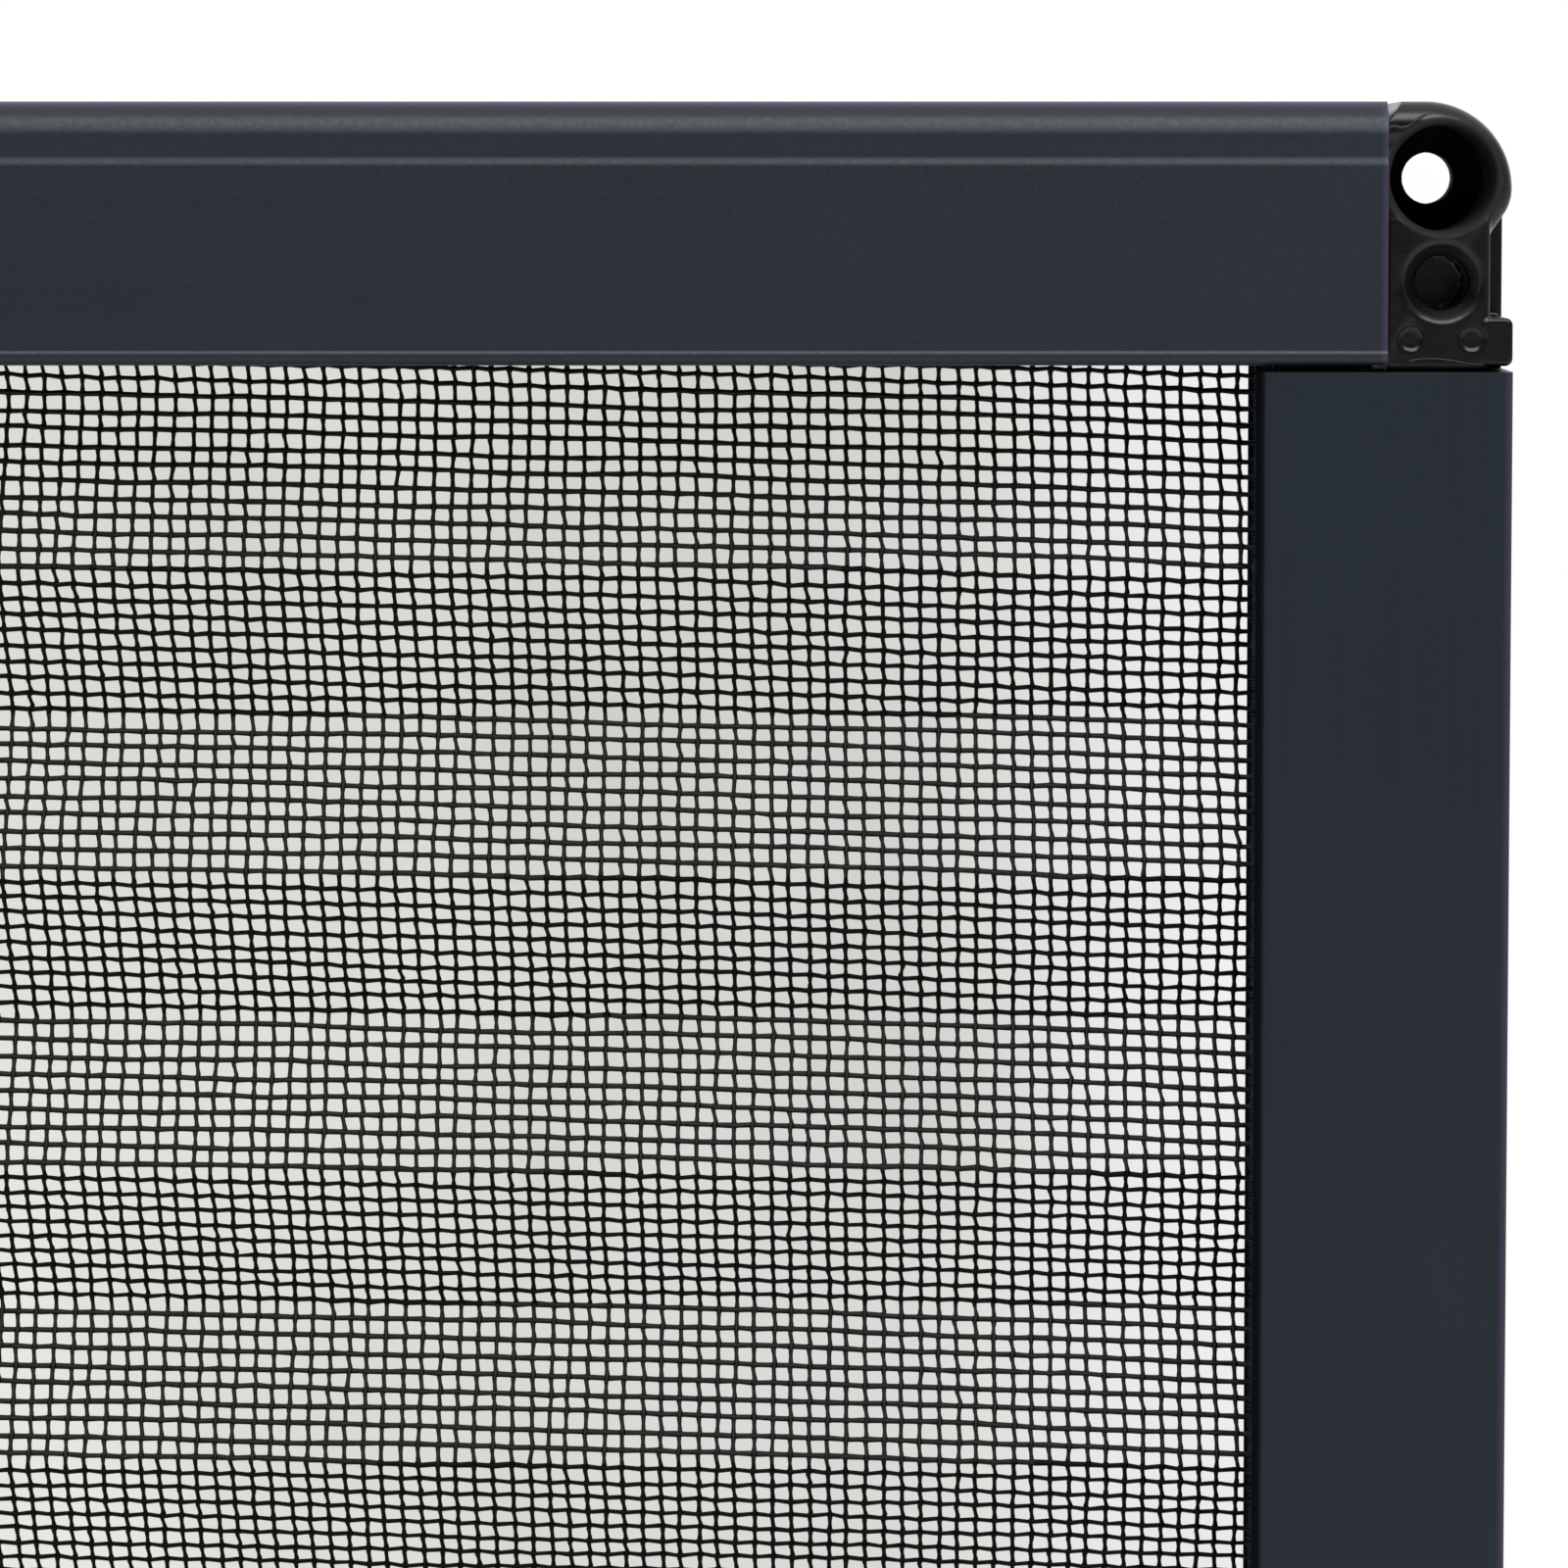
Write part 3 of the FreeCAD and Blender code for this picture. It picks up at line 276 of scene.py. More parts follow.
def thread(name, low, high, tinted, level):
    """Glass thread in a soft coating: near black, with the thread's twist showing through."""
    m, nt, p = material(name)
    c = coords(nt)
    lump = noise(nt, c, 2400.0, 3.0, 0.6)
    tint = noise(nt, c, 35.0, 2.0)
    tone = mix(nt, span(nt, lump, 0.3, 0.75), low, high)
    tone = mix(nt, span(nt, tint, 0.35, 0.65, 0.0, 0.35), tone, tinted)
    nt.links.new(tone, p.inputs["Base Color"])
    nt.links.new(span(nt, lump, 0.3, 0.7, 0.38, 0.6), p.inputs["Roughness"])
    p.inputs["Specular IOR Level"].default_value = level
    bump(nt, p, lump, 0.00004, 0.5)
    return m


mesh_thread = thread("mesh_thread_black", (0.0006, 0.0006, 0.0004), (0.0040, 0.0041, 0.0032), (0.0036, 0.0028, 0.0026), 0.12)
# the same thread, lighter: painted light on the pleat faces that look up towards the lamp above
mesh_painted_toplit = thread("mesh_thread_painted_toplit", (0.0040, 0.0041, 0.0034), (0.0230, 0.0236, 0.0205), (0.0170, 0.0150, 0.0140), 0.22)


def pile(name):
    m, nt, p = material(name)
    c = coords(nt)
    tuft = noise(nt, c, 5000.0, 2.0, 0.6)
    tone = mix(nt, span(nt, tuft, 0.3, 0.7), (0.0040, 0.0038, 0.0050), (0.0120, 0.0115, 0.0140))
    nt.links.new(tone, p.inputs["Base Color"])
    p.inputs["Roughness"].default_value = 0.8
    p.inputs["Sheen Weight"].default_value = 0.15
    p.inputs["Specular IOR Level"].default_value = 0.2
    bump(nt, p, tuft, 0.00004, 0.4)
    return m


pile_black = pile("pile_black")

NODE_MATERIAL = {
    "head_rail": coat_x,
    "bottom_rail": coat_x,
    "pull_bar": coat_bar,
    "guide_rail_right": coat_z,
    "guide_rail_left": coat_z,
    "corner_cap_top_right": cap_plastic,
    "corner_cap_top_left": cap_plastic,
    "corner_cap_bottom_right": cap_plastic,
    "corner_cap_bottom_left": cap_plastic,
    "bar_end_right": trim_plastic,
    "bar_end_left": trim_plastic,
    "pull_handle": trim_plastic,
    "mesh_clamp_top": trim_plastic,
    "mesh_clamp_bottom": trim_plastic,
    "handle_screws": screw_steel,
    "bar_magnet": magnet_strip,
    "sill_magnet": magnet_strip,
    "guide_brush_right": pile_black,
    "guide_brush_left": pile_black,
    "bar_seal": pile_black,
    "pleated_mesh": mesh_thread,
}
for node, mat in NODE_MATERIAL.items():
    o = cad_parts[node]
    for s in o.material_slots:
        s.material = mat

# ------------------------------------------------------------------ extrusions
def curve_points(points):
    """A closed outline in mm. A corner is (x, y), or (x, y, radius), which is rounded off."""
    out = []
    n = len(points)
    for i, p in enumerate(points):
        b = np.array(p[:2], float)
        if len(p) == 2:
            out.append(b)
            continue
        a, c = np.array(points[i - 1][:2], float), np.array(points[(i + 1) % n][:2], float)
        u, v = (a - b) / np.linalg.norm(a - b), (c - b) / np.linalg.norm(c - b)
        half = math.acos(np.clip(np.dot(u, v), -1, 1)) / 2
        reach = p[2] / math.tan(half)
        p0, p1 = b + u * reach, b + v * reach
        middle = b + (u + v) / np.linalg.norm(u + v) * (p[2] / math.sin(half))
        a0 = math.atan2(*(p0 - middle)[::-1])
        a1 = math.atan2(*(p1 - middle)[::-1])
        turn = (a1 - a0 + math.pi) % (2 * math.pi) - math.pi
        steps = max(2, int(abs(turn) * p[2] / 0.09) + 3)
        for k in range(steps + 1):
            w = a0 + turn * k / steps
            out.append(middle + p[2] * np.array([math.cos(w), math.sin(w)]))
    return np.array(out)


def extrusion(name, outer, holes, way, half, mat, pieces=1):
    """A profile swept along x or z between -half and half. The outlines are (y, z) or (x, y) in mm."""
    loops = [np.asarray(o, float) for o in [outer] + holes]
    verts, faces = [], []
    stations = np.linspace(-half, half, pieces + 1)
    base = []
    for o in loops:
        base.append(len(verts))
        for s in stations:
            for a, b in o:
                verts.append((s, a, b) if way == "x" else (a, b, s))
    for o, n0 in zip(loops, base):
        n = len(o)
        for k in range(pieces):
            for i in range(n):
                j = (i + 1) % n
                faces.append((n0 + k * n + i, n0 + k * n + j, n0 + (k + 1) * n + j, n0 + (k + 1) * n + i))
    flat = [[Vector((a, b, 0)) for a, b in o] for o in loops]
    index = []
    for o, n0 in zip(loops, base):
        index += [n0 + i for i in range(len(o))]
    for tri in tessellate_polygon(flat):
        faces.append(tuple(index[i] for i in tri))
        far = []
        for i in tri:
            k, left = 0, i
            while left >= len(loops[k]):
                left -= len(loops[k])
                k += 1
            far.append(base[k] + pieces * len(loops[k]) + left)
        faces.append(tuple(reversed(far)))
    me = bpy.data.meshes.new(name)
    me.from_pydata([tuple(c / 1000.0 for c in v) for v in verts], [], faces)
    bm = bmesh.new()
    bm.from_mesh(me)
    bmesh.ops.recalc_face_normals(bm, faces=bm.faces)
    bm.to_mesh(me)
    bm.free()
    me.polygons.foreach_set("use_smooth", [True] * len(me.polygons))
    me.set_sharp_from_angle(angle=math.radians(25))
    me.materials.append(mat)
    o = bpy.data.objects.new(name, me)
    scene.collection.objects.link(o)
    return o


def head_outline():
    """The head rail's section as (y, z) in mm: nose, shallow cove, shoulder, face and bottom lip."""
    T = 300.0
    pts = [(0, T - 20.5), (0, T, 0.8)]
    # the nose: a small round, a flat, the seam where the die's two parts meet, and a long round
    for k in range(13):
        a = math.radians(90 - 38 * k / 12)
        pts.append((-16.43 - 1.415 * math.cos(a), T - 1.415 + 1.415 * math.sin(a)))
    w = np.linspace(0.30, 2.68, 90)
    a = np.radians(np.interp(w, [0.30, 0.93, 0.96, 1.40, 1.80, 2.20, 2.50, 2.68], [52, 46, 39, 27, 20, 14, 8, 0]))
    fall = np.cumsum(np.tan(a)) * (w[1] - w[0])
    for wk, f in list(zip(w, fall))[1:]:
        pts.append((-18.7 + (fall[-1] - f) * 1.4 / (fall[-1] - fall[0]), T - wk))
    # the cove and the shoulder above the face
    for wk in np.linspace(2.8, 4.12, 10):
        pts.append((-18.7 + 0.07 * ((wk - 2.68) / 1.44) ** 1.6, T - wk))
    for wk in np.linspace(4.18, 5.10, 22):
        q = (wk - 4.18) / 0.92
        q = q * q * (3 - 2 * q)
        pts.append((-18.63 - 0.19 * q, T - wk))
    pts += [(-18.82, T - 8), (-18.89, T - 19.2)]
    for wk in np.linspace(19.27, 19.65, 11):
        q = (wk - 19.27) / 0.38
        q = q * q * (3 - 2 * q)
        pts.append((-18.89 - 0.11 * q, T - wk))
    for k in range(1, 13):
        a = math.radians(180 + 90 * k / 12)
        pts.append((-18.2 + 0.8 * math.cos(a), T - 19.7 + 0.8 * math.sin(a)))
    pts += [
        (-17.8, T - 20.5), (-17.8, T - 7.3), (-9.1, T - 7.3), (-9.1, T - 10.1), (-6.6, T - 10.1, 0.15), (-6.6, T - 9.1),
        (-7.9, T - 9.1), (-7.9, T - 7.3), (-2.9, T - 7.3), (-2.9, T - 9.1), (-4.2, T - 9.1), (-4.2, T - 10.1, 0.15),
        (-1.2, T - 10.1), (-1.2, T - 20.5),
    ]
    return curve_points(pts)


def flipped(outline):
    o = outline.copy()
    o[:, 1] *= -1
    return o[::-1]


head = head_outline()
front = 17.18
chamber = np.array([(-1.2, 298.8), (-1.2, 293.9), (-front, 293.9), (-front, 296.8), (-(front - 1.6), 298.8)])
rail = extrusion("head_rail_extrusion", head, [chamber], "x", 340.2, coat_x, 8)
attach(rail, "frame")
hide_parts("head_rail")
rail = extrusion("bottom_rail_extrusion", flipped(head), [flipped(chamber)], "x", 340.2, coat_x, 8)
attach(rail, "frame")
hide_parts("bottom_rail")

G = 330.4
guide = curve_points([
    (G, -11.6), (G, -19.0, 1.0), (350.0, -19.0, 0.8), (350.0, 0.0, 0.5), (G, 0.0), (G, -1.2), (G + 11.0, -1.2),
    (G + 11.0, -11.6), (G + 4.4, -11.6), (G + 4.4, -12.4), (G + 5.7, -12.4), (G + 5.7, -13.1), (G + 0.9, -13.1),
    (G + 0.9, -12.4), (G + 1.4, -12.4), (G + 1.4, -11.6),
])
front_chamber = np.array([(G + 1.2, -17.8), (348.8, -17.8), (348.8, -12.8), (G + 6.9, -12.8), (G + 6.9, -14.3), (G + 1.2, -14.3)])
rear_chamber = np.array([(G + 12.2, -11.6), (348.8, -11.6), (348.8, -1.2), (G + 12.2, -1.2)])


def other_side(outline):
    o = np.asarray(outline, float).copy()
    o[:, 0] *= -1
    return o[::-1]


for side, turn in (("right", lambda o: o), ("left", other_side)):
    o = extrusion(
        "guide_rail_%s_extrusion" % side, turn(guide), [turn(front_chamber), turn(rear_chamber)], "z", 279.0, coat_z, 8
    )
    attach(o, "frame")
    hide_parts("guide_rail_" + side)

def make_mesh(name, parts, mat, smooth=True, second=None, index=None):
    vs, qs, n = [], [], 0
    for v, q in parts:
        vs.append(v)
        qs.append(q + n)
        n += len(v)
    v = np.concatenate(vs) / 1000.0
    q = np.concatenate(qs)
    width = q.shape[1]
    me = bpy.data.meshes.new(name)
    me.vertices.add(len(v))
    me.vertices.foreach_set("co", v.astype(np.float32).ravel())
    me.loops.add(q.size)
    me.loops.foreach_set("vertex_index", q.astype(np.int32).ravel())
    me.polygons.add(len(q))
    me.polygons.foreach_set("loop_start", np.arange(len(q), dtype=np.int32) * width)
    me.polygons.foreach_set("loop_total", np.full(len(q), width, np.int32))
    me.polygons.foreach_set("use_smooth", np.full(len(q), smooth))
    me.materials.append(mat)
    if second is not None:
        me.materials.append(second)
        me.polygons.foreach_set("material_index", np.concatenate(index).astype(np.int32))
    me.update(calc_edges=True)
    me.validate()
    o = bpy.data.objects.new(name, me)
    scene.collection.objects.link(o)
    return o, len(q) * (width - 2)


# ------------------------------------------------------------------ corner caps
def soft_and(a, b, r):
    """The overlap of two solids, with its edge rounded to r."""
    return np.minimum(-r, np.maximum(a, b)) + np.hypot(np.maximum(a + r, 0), np.maximum(b + r, 0))


def soft_or(a, b, k):
    h = np.clip(0.5 + 0.5 * (b - a) / k, 0, 1)
    return b * (1 - h) + a * h - k * h * (1 - h)


def rect(u, w, u0, u1, w0, w1):
    du, dw = np.abs(u - (u0 + u1) / 2) - (u1 - u0) / 2, np.abs(w - (w0 + w1) / 2) - (w1 - w0) / 2
    return np.hypot(np.maximum(du, 0), np.maximum(dw, 0)) + np.minimum(np.maximum(du, dw), 0)


def stick(u, w, d, a, b, r):
    """A rounded rod from a to b."""
    a, b = np.array(a, float), np.array(b, float)
    ab = b - a
    t = ((u - a[0]) * ab[0] + (w - a[1]) * ab[1] + (d - a[2]) * ab[2]) / np.dot(ab, ab)
    t = np.clip(t, 0, 1)
    return np.sqrt((u - a[0] - t * ab[0]) ** 2 + (w - a[1] - t * ab[1]) ** 2 + (d - a[2] - t * ab[2]) ** 2) - r


MARKS = (1.85, 6.6)


def cap_solid(u, w, d):
    """The corner cap's distance field. u is across from the rail's end, w down from the top and d in
    front of the mounting plane, in mm."""
    # the ear's outline: a large round above, a small one beside the well, and its straight tail
    big = np.hypot(u - 3.0, w - 6.8) - 6.8
    along = (w - 6.8) * 0.8192 - (u - 6.4) * 0.5736
    small = np.where(along > 0, (u - 6.4) * 0.8192 + (w - 6.8) * 0.5736, np.hypot(u - 6.4, w - 6.8)) - 3.4
    outline = np.where(w < 6.8, np.where(u > 3.0, big, -w), small)
    solid = soft_and(outline, d - 18.0, 1.9)
    waist = soft_and(rect(u, w, -30.0, 8.0, 9.0, 20.9), d - 18.0, 0.45)
    solid = soft_or(solid, waist, 0.35)
    plate = np.minimum(outline, rect(u, w, -30.0, 9.8, 6.8, 21.0))
    solid = np.minimum(solid, soft_and(plate, d - 9.0, 0.2))
    r = np.hypot(u - 4.35, w - 5.95)
    # the hollow beside the well, under the flash line that runs out to the rail's nose
    dip = np.sqrt(((u - 0.7) / 1.2) ** 2 + ((w - 3.4) / 1.0) ** 2 + ((d - 18.3) / 0.6) ** 2) - 1.0
    solid = np.maximum(solid, -dip * 0.6)
    # lug over the guide's end
    lug = soft_and(rect(u, w, 8.0, 9.2, 17.4, 19.95) - 0.6, d - 18.14, 0.3)
    solid = soft_or(solid, lug, 0.22)
    # the well and the screw hole
    well = soft_and(r - 4.15, 3.0 - d, 0.25)
    solid = soft_and(solid, -well, 0.55)
    solid = np.maximum(solid, 2.05 - r)
    # blind pocket with its bevelled mouth
    q = np.hypot(u - 4.3, w - 14.04)
    bevel = np.maximum((q - 3.1 + (18.0 - d)) * 0.7071, 17.0 - d)
    solid = soft_and(solid, -np.minimum(np.maximum(q - 2.1, 11.0 - d), bevel), 0.20)
    # ejector marks: shallow round dishes
    for mark in MARKS:
        m = np.hypot(u - mark, w - 18.45)
        t = np.clip((1.02 - m) / 0.30, 0, 1)
        solid = np.maximum(solid, np.where(d > 17.0, d - (18.0 - 0.16 * t * t * (3 - 2 * t)) - 8.0 * (m > 1.1), -9.0))
    # the rail's side, the back, and the notch at the top
    solid = np.maximum(solid, -u)
    solid = np.maximum(solid, -d)
    return np.maximum(solid, -0.7906 * u - 0.6127 * (w - 1.5))


def surface(field, low, high, step):
    """A closed mesh of field = 0 (surface nets, then moved onto the surface)."""
    axes = [np.arange(a - 1.5 * step, b + 2.5 * step, step) for a, b in zip(low, high)]
    X, Y, Z = np.meshgrid(*axes, indexing="ij")
    F = field(X, Y, Z)
    inside = F < 0
    n = [len(a) for a in axes]
    corner = [(i, j, k) for i in (0, 1) for j in (0, 1) for k in (0, 1)]

    def part(a, c):
        return a[c[0]:n[0] - 1 + c[0], c[1]:n[1] - 1 + c[1], c[2]:n[2] - 1 + c[2]]

    count = sum(part(inside, c).astype(int) for c in corner)
    cells = (count > 0) & (count < 8)
    number = np.full(cells.shape, -1)
    number[cells] = np.arange(cells.sum())
    at = np.argwhere(cells)
    total, hits = np.zeros((len(at), 3)), np.zeros(len(at))
    for a in corner:
        for axis in range(3):
            if a[axis]:
                continue
            b = list(a)
            b[axis] = 1
            fa = part(F, a)[cells]
            fb = part(F, tuple(b))[cells]
            m = (fa < 0) != (fb < 0)
            t = np.where(m, fa / np.where(m, fa - fb, 1.0), 0.0)
            p = np.tile(np.array(a, float), (len(at), 1))
            p[:, axis] += t
            total[m] += p[m]
            hits[m] += 1
    v = at + total / hits[:, None]
    v = np.stack([axes[i][0] + v[:, i] * step for i in range(3)], 1)
    faces = []
    for axis in range(3):
        o1, o2 = [i for i in range(3) if i != axis]
        lo_, hi_ = [slice(None)] * 3, [slice(None)] * 3
        lo_[axis], hi_[axis] = slice(0, n[axis] - 1), slice(1, n[axis])
        for o in (o1, o2):
            lo_[o] = hi_[o] = slice(1, n[o] - 1)
        a, b = inside[tuple(lo_)], inside[tuple(hi_)]
        where = np.argwhere(a != b)
        up = a[tuple(where.T)]
        where[:, o1] += 1
        where[:, o2] += 1
        quad = []
        for s1, s2 in ((0, 0), (1, 0), (1, 1), (0, 1)):
            w_ = where.copy()
            w_[:, o1] -= s1
            w_[:, o2] -= s2
            quad.append(number[tuple(w_.T)])
        quad = np.stack(quad, 1)
        if axis == 1:
            up = ~up
        quad[up] = quad[up][:, ::-1]
        faces.append(quad)
    e = step * 0.15
    for _ in range(3):
        f = field(v[:, 0], v[:, 1], v[:, 2])
        g = []
        for i in range(3):
            hi_, lo_ = v.copy(), v.copy()
            hi_[:, i] += e
            lo_[:, i] -= e
            g.append((field(*hi_.T) - field(*lo_.T)) / (2 * e))
        g = np.stack(g, 1)
        size = (g * g).sum(1)
        move = -(f / np.maximum(size, 0.3))[:, None] * g
        v = v + np.clip(move, -0.35 * step, 0.35 * step)
    return v, np.concatenate(faces)


def block(x0, x1, y0, y1, z0, z1, r=0.4):
    """A box with bevelled ends, as points and quads."""
    v, q = [], []
    rings = [(x0, r), (x0 + r, 0.0), (x1 - r, 0.0), (x1, r)]
    for x, s in rings:
        v += [(x, y0 + s, z0 + s), (x, y1 - s, z0 + s), (x, y1 - s, z1 - s), (x, y0 + s, z1 - s)]
    for k in range(3):
        for i in range(4):
            j = (i + 1) % 4
            q.append((k * 4 + i, k * 4 + j, k * 4 + 4 + j, k * 4 + 4 + i))
    q += [(3, 2, 1, 0), (12, 13, 14, 15)]
    return np.array(v, float), np.array(q)


def tube(path, radii, sides=8, closed=False):
    """A round tube along the points of path."""
    p = np.asarray(path, float)
    t = np.roll(p, -1, 0) - np.roll(p, 1, 0)
    if not closed:
        t[0], t[-1] = p[1] - p[0], p[-1] - p[-2]
    t /= np.linalg.norm(t, axis=1)[:, None]
    side = np.cross(t, (0.0, 0.0, 1.0))
    side /= np.linalg.norm(side, axis=1)[:, None]
    up = np.cross(side, t)
    a = np.arange(sides) * 2 * math.pi / sides
    r = np.broadcast_to(np.asarray(radii, float), (len(p),))[:, None, None]
    v = p[:, None, :] + r * (np.cos(a)[None, :, None] * side[:, None, :] + np.sin(a)[None, :, None] * up[:, None, :])
    n = len(p)
    i = np.arange(n if closed else n - 1)[:, None]
    k = np.arange(sides)[None, :]
    i2, k2 = (i + 1) % n, (k + 1) % sides
    q = np.stack([i * sides + k, i * sides + k2, i2 * sides + k2, i2 * sides + k], -1).reshape(-1, 4)
    return v.reshape(-1, 3), q


def on_surface(u, w, sink):
    """Points of the cap's front surface at (u, w), sunk by that much."""
    d = np.arange(18.8, 14.0, -0.01)
    f = cap_solid(np.asarray(u)[:, None], np.asarray(w)[:, None], d[None, :])
    first = np.argmax(f < 0, axis=1)
    return np.stack([u, w, d[first] - sink], 1)


def lines_on_cap():
    """The flash line beside the collar, the flow line along the foot and the marks' thin rims."""
    out = []
    for knots, thick in (
        ([(0.02, 2.02), (0.5, 1.96), (1.05, 2.05), (1.7, 1.86), (2.25, 1.42), (2.85, 1.08), (3.7, 0.98)],
         (0.13, 0.16, 0.13, 0.13, 0.15, 0.11, 0.03)),
        ([(1.25, 20.5), (1.9, 20.15), (3.2, 19.98), (4.9, 20.12), (6.6, 20.4), (7.7, 20.36)],
         (0.04, 0.10, 0.08, 0.10, 0.07, 0.03)),
    ):
        k = np.array(knots)
        at = np.linspace(0, len(k) - 1, 12 * (len(k) - 1) + 1)
        i = np.clip(at.astype(int), 0, len(k) - 2)
        t = (at - i)[:, None]
        ends = np.vstack([2 * k[0] - k[1], k, 2 * k[-1] - k[-2]])
        a, b, c, d = ends[i], ends[i + 1], ends[i + 2], ends[i + 3]
        p = 0.5 * (2 * b + (c - a) * t + (2 * a - 5 * b + 4 * c - d) * t * t + (3 * b - a - 3 * c + d) * t ** 3)
        r = np.interp(at, np.arange(len(k)), thick)
        out.append(tube(on_surface(p[:, 0], p[:, 1], 0.03), r))
    arc = np.radians(np.linspace(-6, 134, 90))
    rim = on_surface(4.35 + 4.60 * np.cos(arc), 5.95 + 4.60 * np.sin(arc), 0.05)
    thick = 0.075 + 0.03 * np.sin(arc * 7.0) + 0.02 * np.sin(arc * 17.0 + 1.0)
    out.append(tube(rim, thick * np.interp(np.degrees(arc), (-6, 8, 120, 134), (0.3, 1, 1, 0.3))))
    turn = np.linspace(0, 2 * math.pi, 64, endpoint=False)
    for mark in MARKS:
        ring = np.stack([mark + 1.03 * np.cos(turn), 18.45 + 1.03 * np.sin(turn), np.full(64, 17.99)], 1)
        out.append(tube(ring, 0.075 + 0.02 * np.sin(turn * 3 + mark), 6, closed=True))
    return out


CAP_LINES = lines_on_cap()


def cap(name, right, top, step):
    v, q = surface(cap_solid, (0, 0, 0), (9.8, 21.0, 18.6), step)
    parts = []
    for v, q in [(v, q)] + CAP_LINES:
        parts.append((np.stack([340.2 + v[:, 0], -v[:, 2], 300.0 - v[:, 1]], 1), q))
    b = block(324.2, 340.4, -15.38, -1.5, 294.15, 298.55)
    parts.append(b)
    # spigots, from the block's long axis turned down
    for x0, x1, y0, y1 in ((340.7, 348.5, -17.5, -13.1), (342.9, 348.5, -11.3, -1.5)):
        bv, bq = block(265.0, 279.2, x0, x1, y0, y1)
        parts.append((bv[:, [1, 2, 0]], bq))
    o, tris = make_mesh(name, parts, cap_plastic)
    me = o.data
    bm = bmesh.new()
    bm.from_mesh(me)
    if not right:
        bmesh.ops.scale(bm, vec=(-1, 1, 1), verts=bm.verts)
    if not top:
        bmesh.ops.scale(bm, vec=(1, 1, -1), verts=bm.verts)
    bmesh.ops.recalc_face_normals(bm, faces=bm.faces)
    bm.to_mesh(me)
    bm.free()
    me.set_sharp_from_angle(angle=math.radians(55))
    return o, tris


for name, right, top, step in (
    ("top_right", True, True, 0.175),
    ("top_left", False, True, 0.42),
    ("bottom_right", True, False, 0.42),
    ("bottom_left", False, False, 0.42),
):
    o, tris = cap("corner_cap_%s_moulded" % name, right, top, step)
    print(o.name, "triangles", tris)
    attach(o, "frame")
    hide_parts("corner_cap_" + name)

# ------------------------------------------------------------------ pleated mesh
rng = np.random.default_rng(20261129)

PITCH = 1.5  # millimetres between threads, both ways
NEAR, FAR = -8.62, -2.18  # the folds' middle planes
HALF = 338.3


def fold_line():
    """The mesh's section from the top clamp to the bottom clamp, as (y, z) corners in mm."""
    shift = [0.1, 1.9, 0.1, -0.1, -0.5, -0.4, -0.1, 0.1, 0.4]
    points = [(-5.4, 291.3), (-5.4, 289.3)]
    z0 = 287.1
    for k in range(45):
        dz = shift[k] if k < len(shift) else float(rng.normal(0.0, 0.28))
        dy = float(rng.normal(0.0, 0.10))
        points.append(((NEAR - abs(dy) * 0.0 + dy * 0.6) if k % 2 == 0 else (FAR + dy * 0.6), z0 - 12.1 * k + dz))
    points.append((FAR, -257.4))
    points.append((-5.4, -263.6))
    points.append((-5.4, -265.0))
    return points


def rounded(points, reach=0.55, steps=5):
    """Every inner corner turned into a short curve."""
    p = np.array(points)
    out = [p[0]]
    for a, b, c in zip(p[:-2], p[1:-1], p[2:]):
        la, lc = np.linalg.norm(a - b), np.linalg.norm(c - b)
        r = min(reach, la * 0.3, lc * 0.3)
        p0, p2 = b + (a - b) / la * r, b + (c - b) / lc * r
        for t in np.linspace(0, 1, steps):
            out.append((1 - t) ** 2 * p0 + 2 * t * (1 - t) * b + t * t * p2)
    out.append(p[-1])
    return np.array(out)


# 46 folds: front, rear, front ... and the last rear one
corners = fold_line()
line = rounded(corners)
seg = np.linalg.norm(np.diff(line, axis=0), axis=1)
S = np.concatenate([[0], np.cumsum(seg)])
TOTAL = float(S[-1])
print("mesh slant length mm", round(TOTAL, 1), "corners", len(corners))
FOLD_S = np.array([S[int(np.argmin((line[:, 0] - y) ** 2 + (line[:, 1] - z) ** 2))] for y, z in corners])


def looks_up(s, sides):
    """1 for the tube faces between two stations that lie on a pleat face which looks up; these take the lighter thread
    colour, painted light from above.
    """
    middle = (s[:, :-1] + s[:, 1:]) / 2
    face = np.searchsorted(FOLD_S, middle, side="right") - 1
    return np.repeat((face % 2 == 1).astype(int).ravel(), sides)


def skew(u):
    """How far down a row lies at u, compared with the middle: the weave is bowed."""
    a = np.abs(u)
    return 0.020 * a * a / 452.0 + 0.016 * 110.0 / 3.0 * (np.maximum(a - 226.0, 0) / 110.0) ** 3


def place(u, s, off):
    """Points of the folded cloth: u across, s down the slant, off out of its plane (mm)."""
    y = np.interp(s, S, line[:, 0])
    z = np.interp(s, S, line[:, 1])
    e = 0.12
    ty = np.interp(s + e, S, line[:, 0]) - np.interp(s - e, S, line[:, 0])
    tz = np.interp(s + e, S, line[:, 1]) - np.interp(s - e, S, line[:, 1])
    n = np.hypot(ty, tz)
    n[n < 1e-9] = 1.0
    ty, tz = ty / n, tz / n
    wave = 0.10 * np.sin(u / 23.0 + s / 61.0) + 0.07 * np.sin(u / 9.1 - s / 37.0)
    edge = np.clip((s - 2.5) / 8.0, 0, 1) * np.clip((TOTAL - 2.5 - s) / 8.0, 0, 1)
    off = off + wave * edge
    # the normal is the tangent turned a quarter, towards the front
    ny, nz = tz, -ty
    return u, y + ny * off, z + nz * off, ty, tz, ny, nz


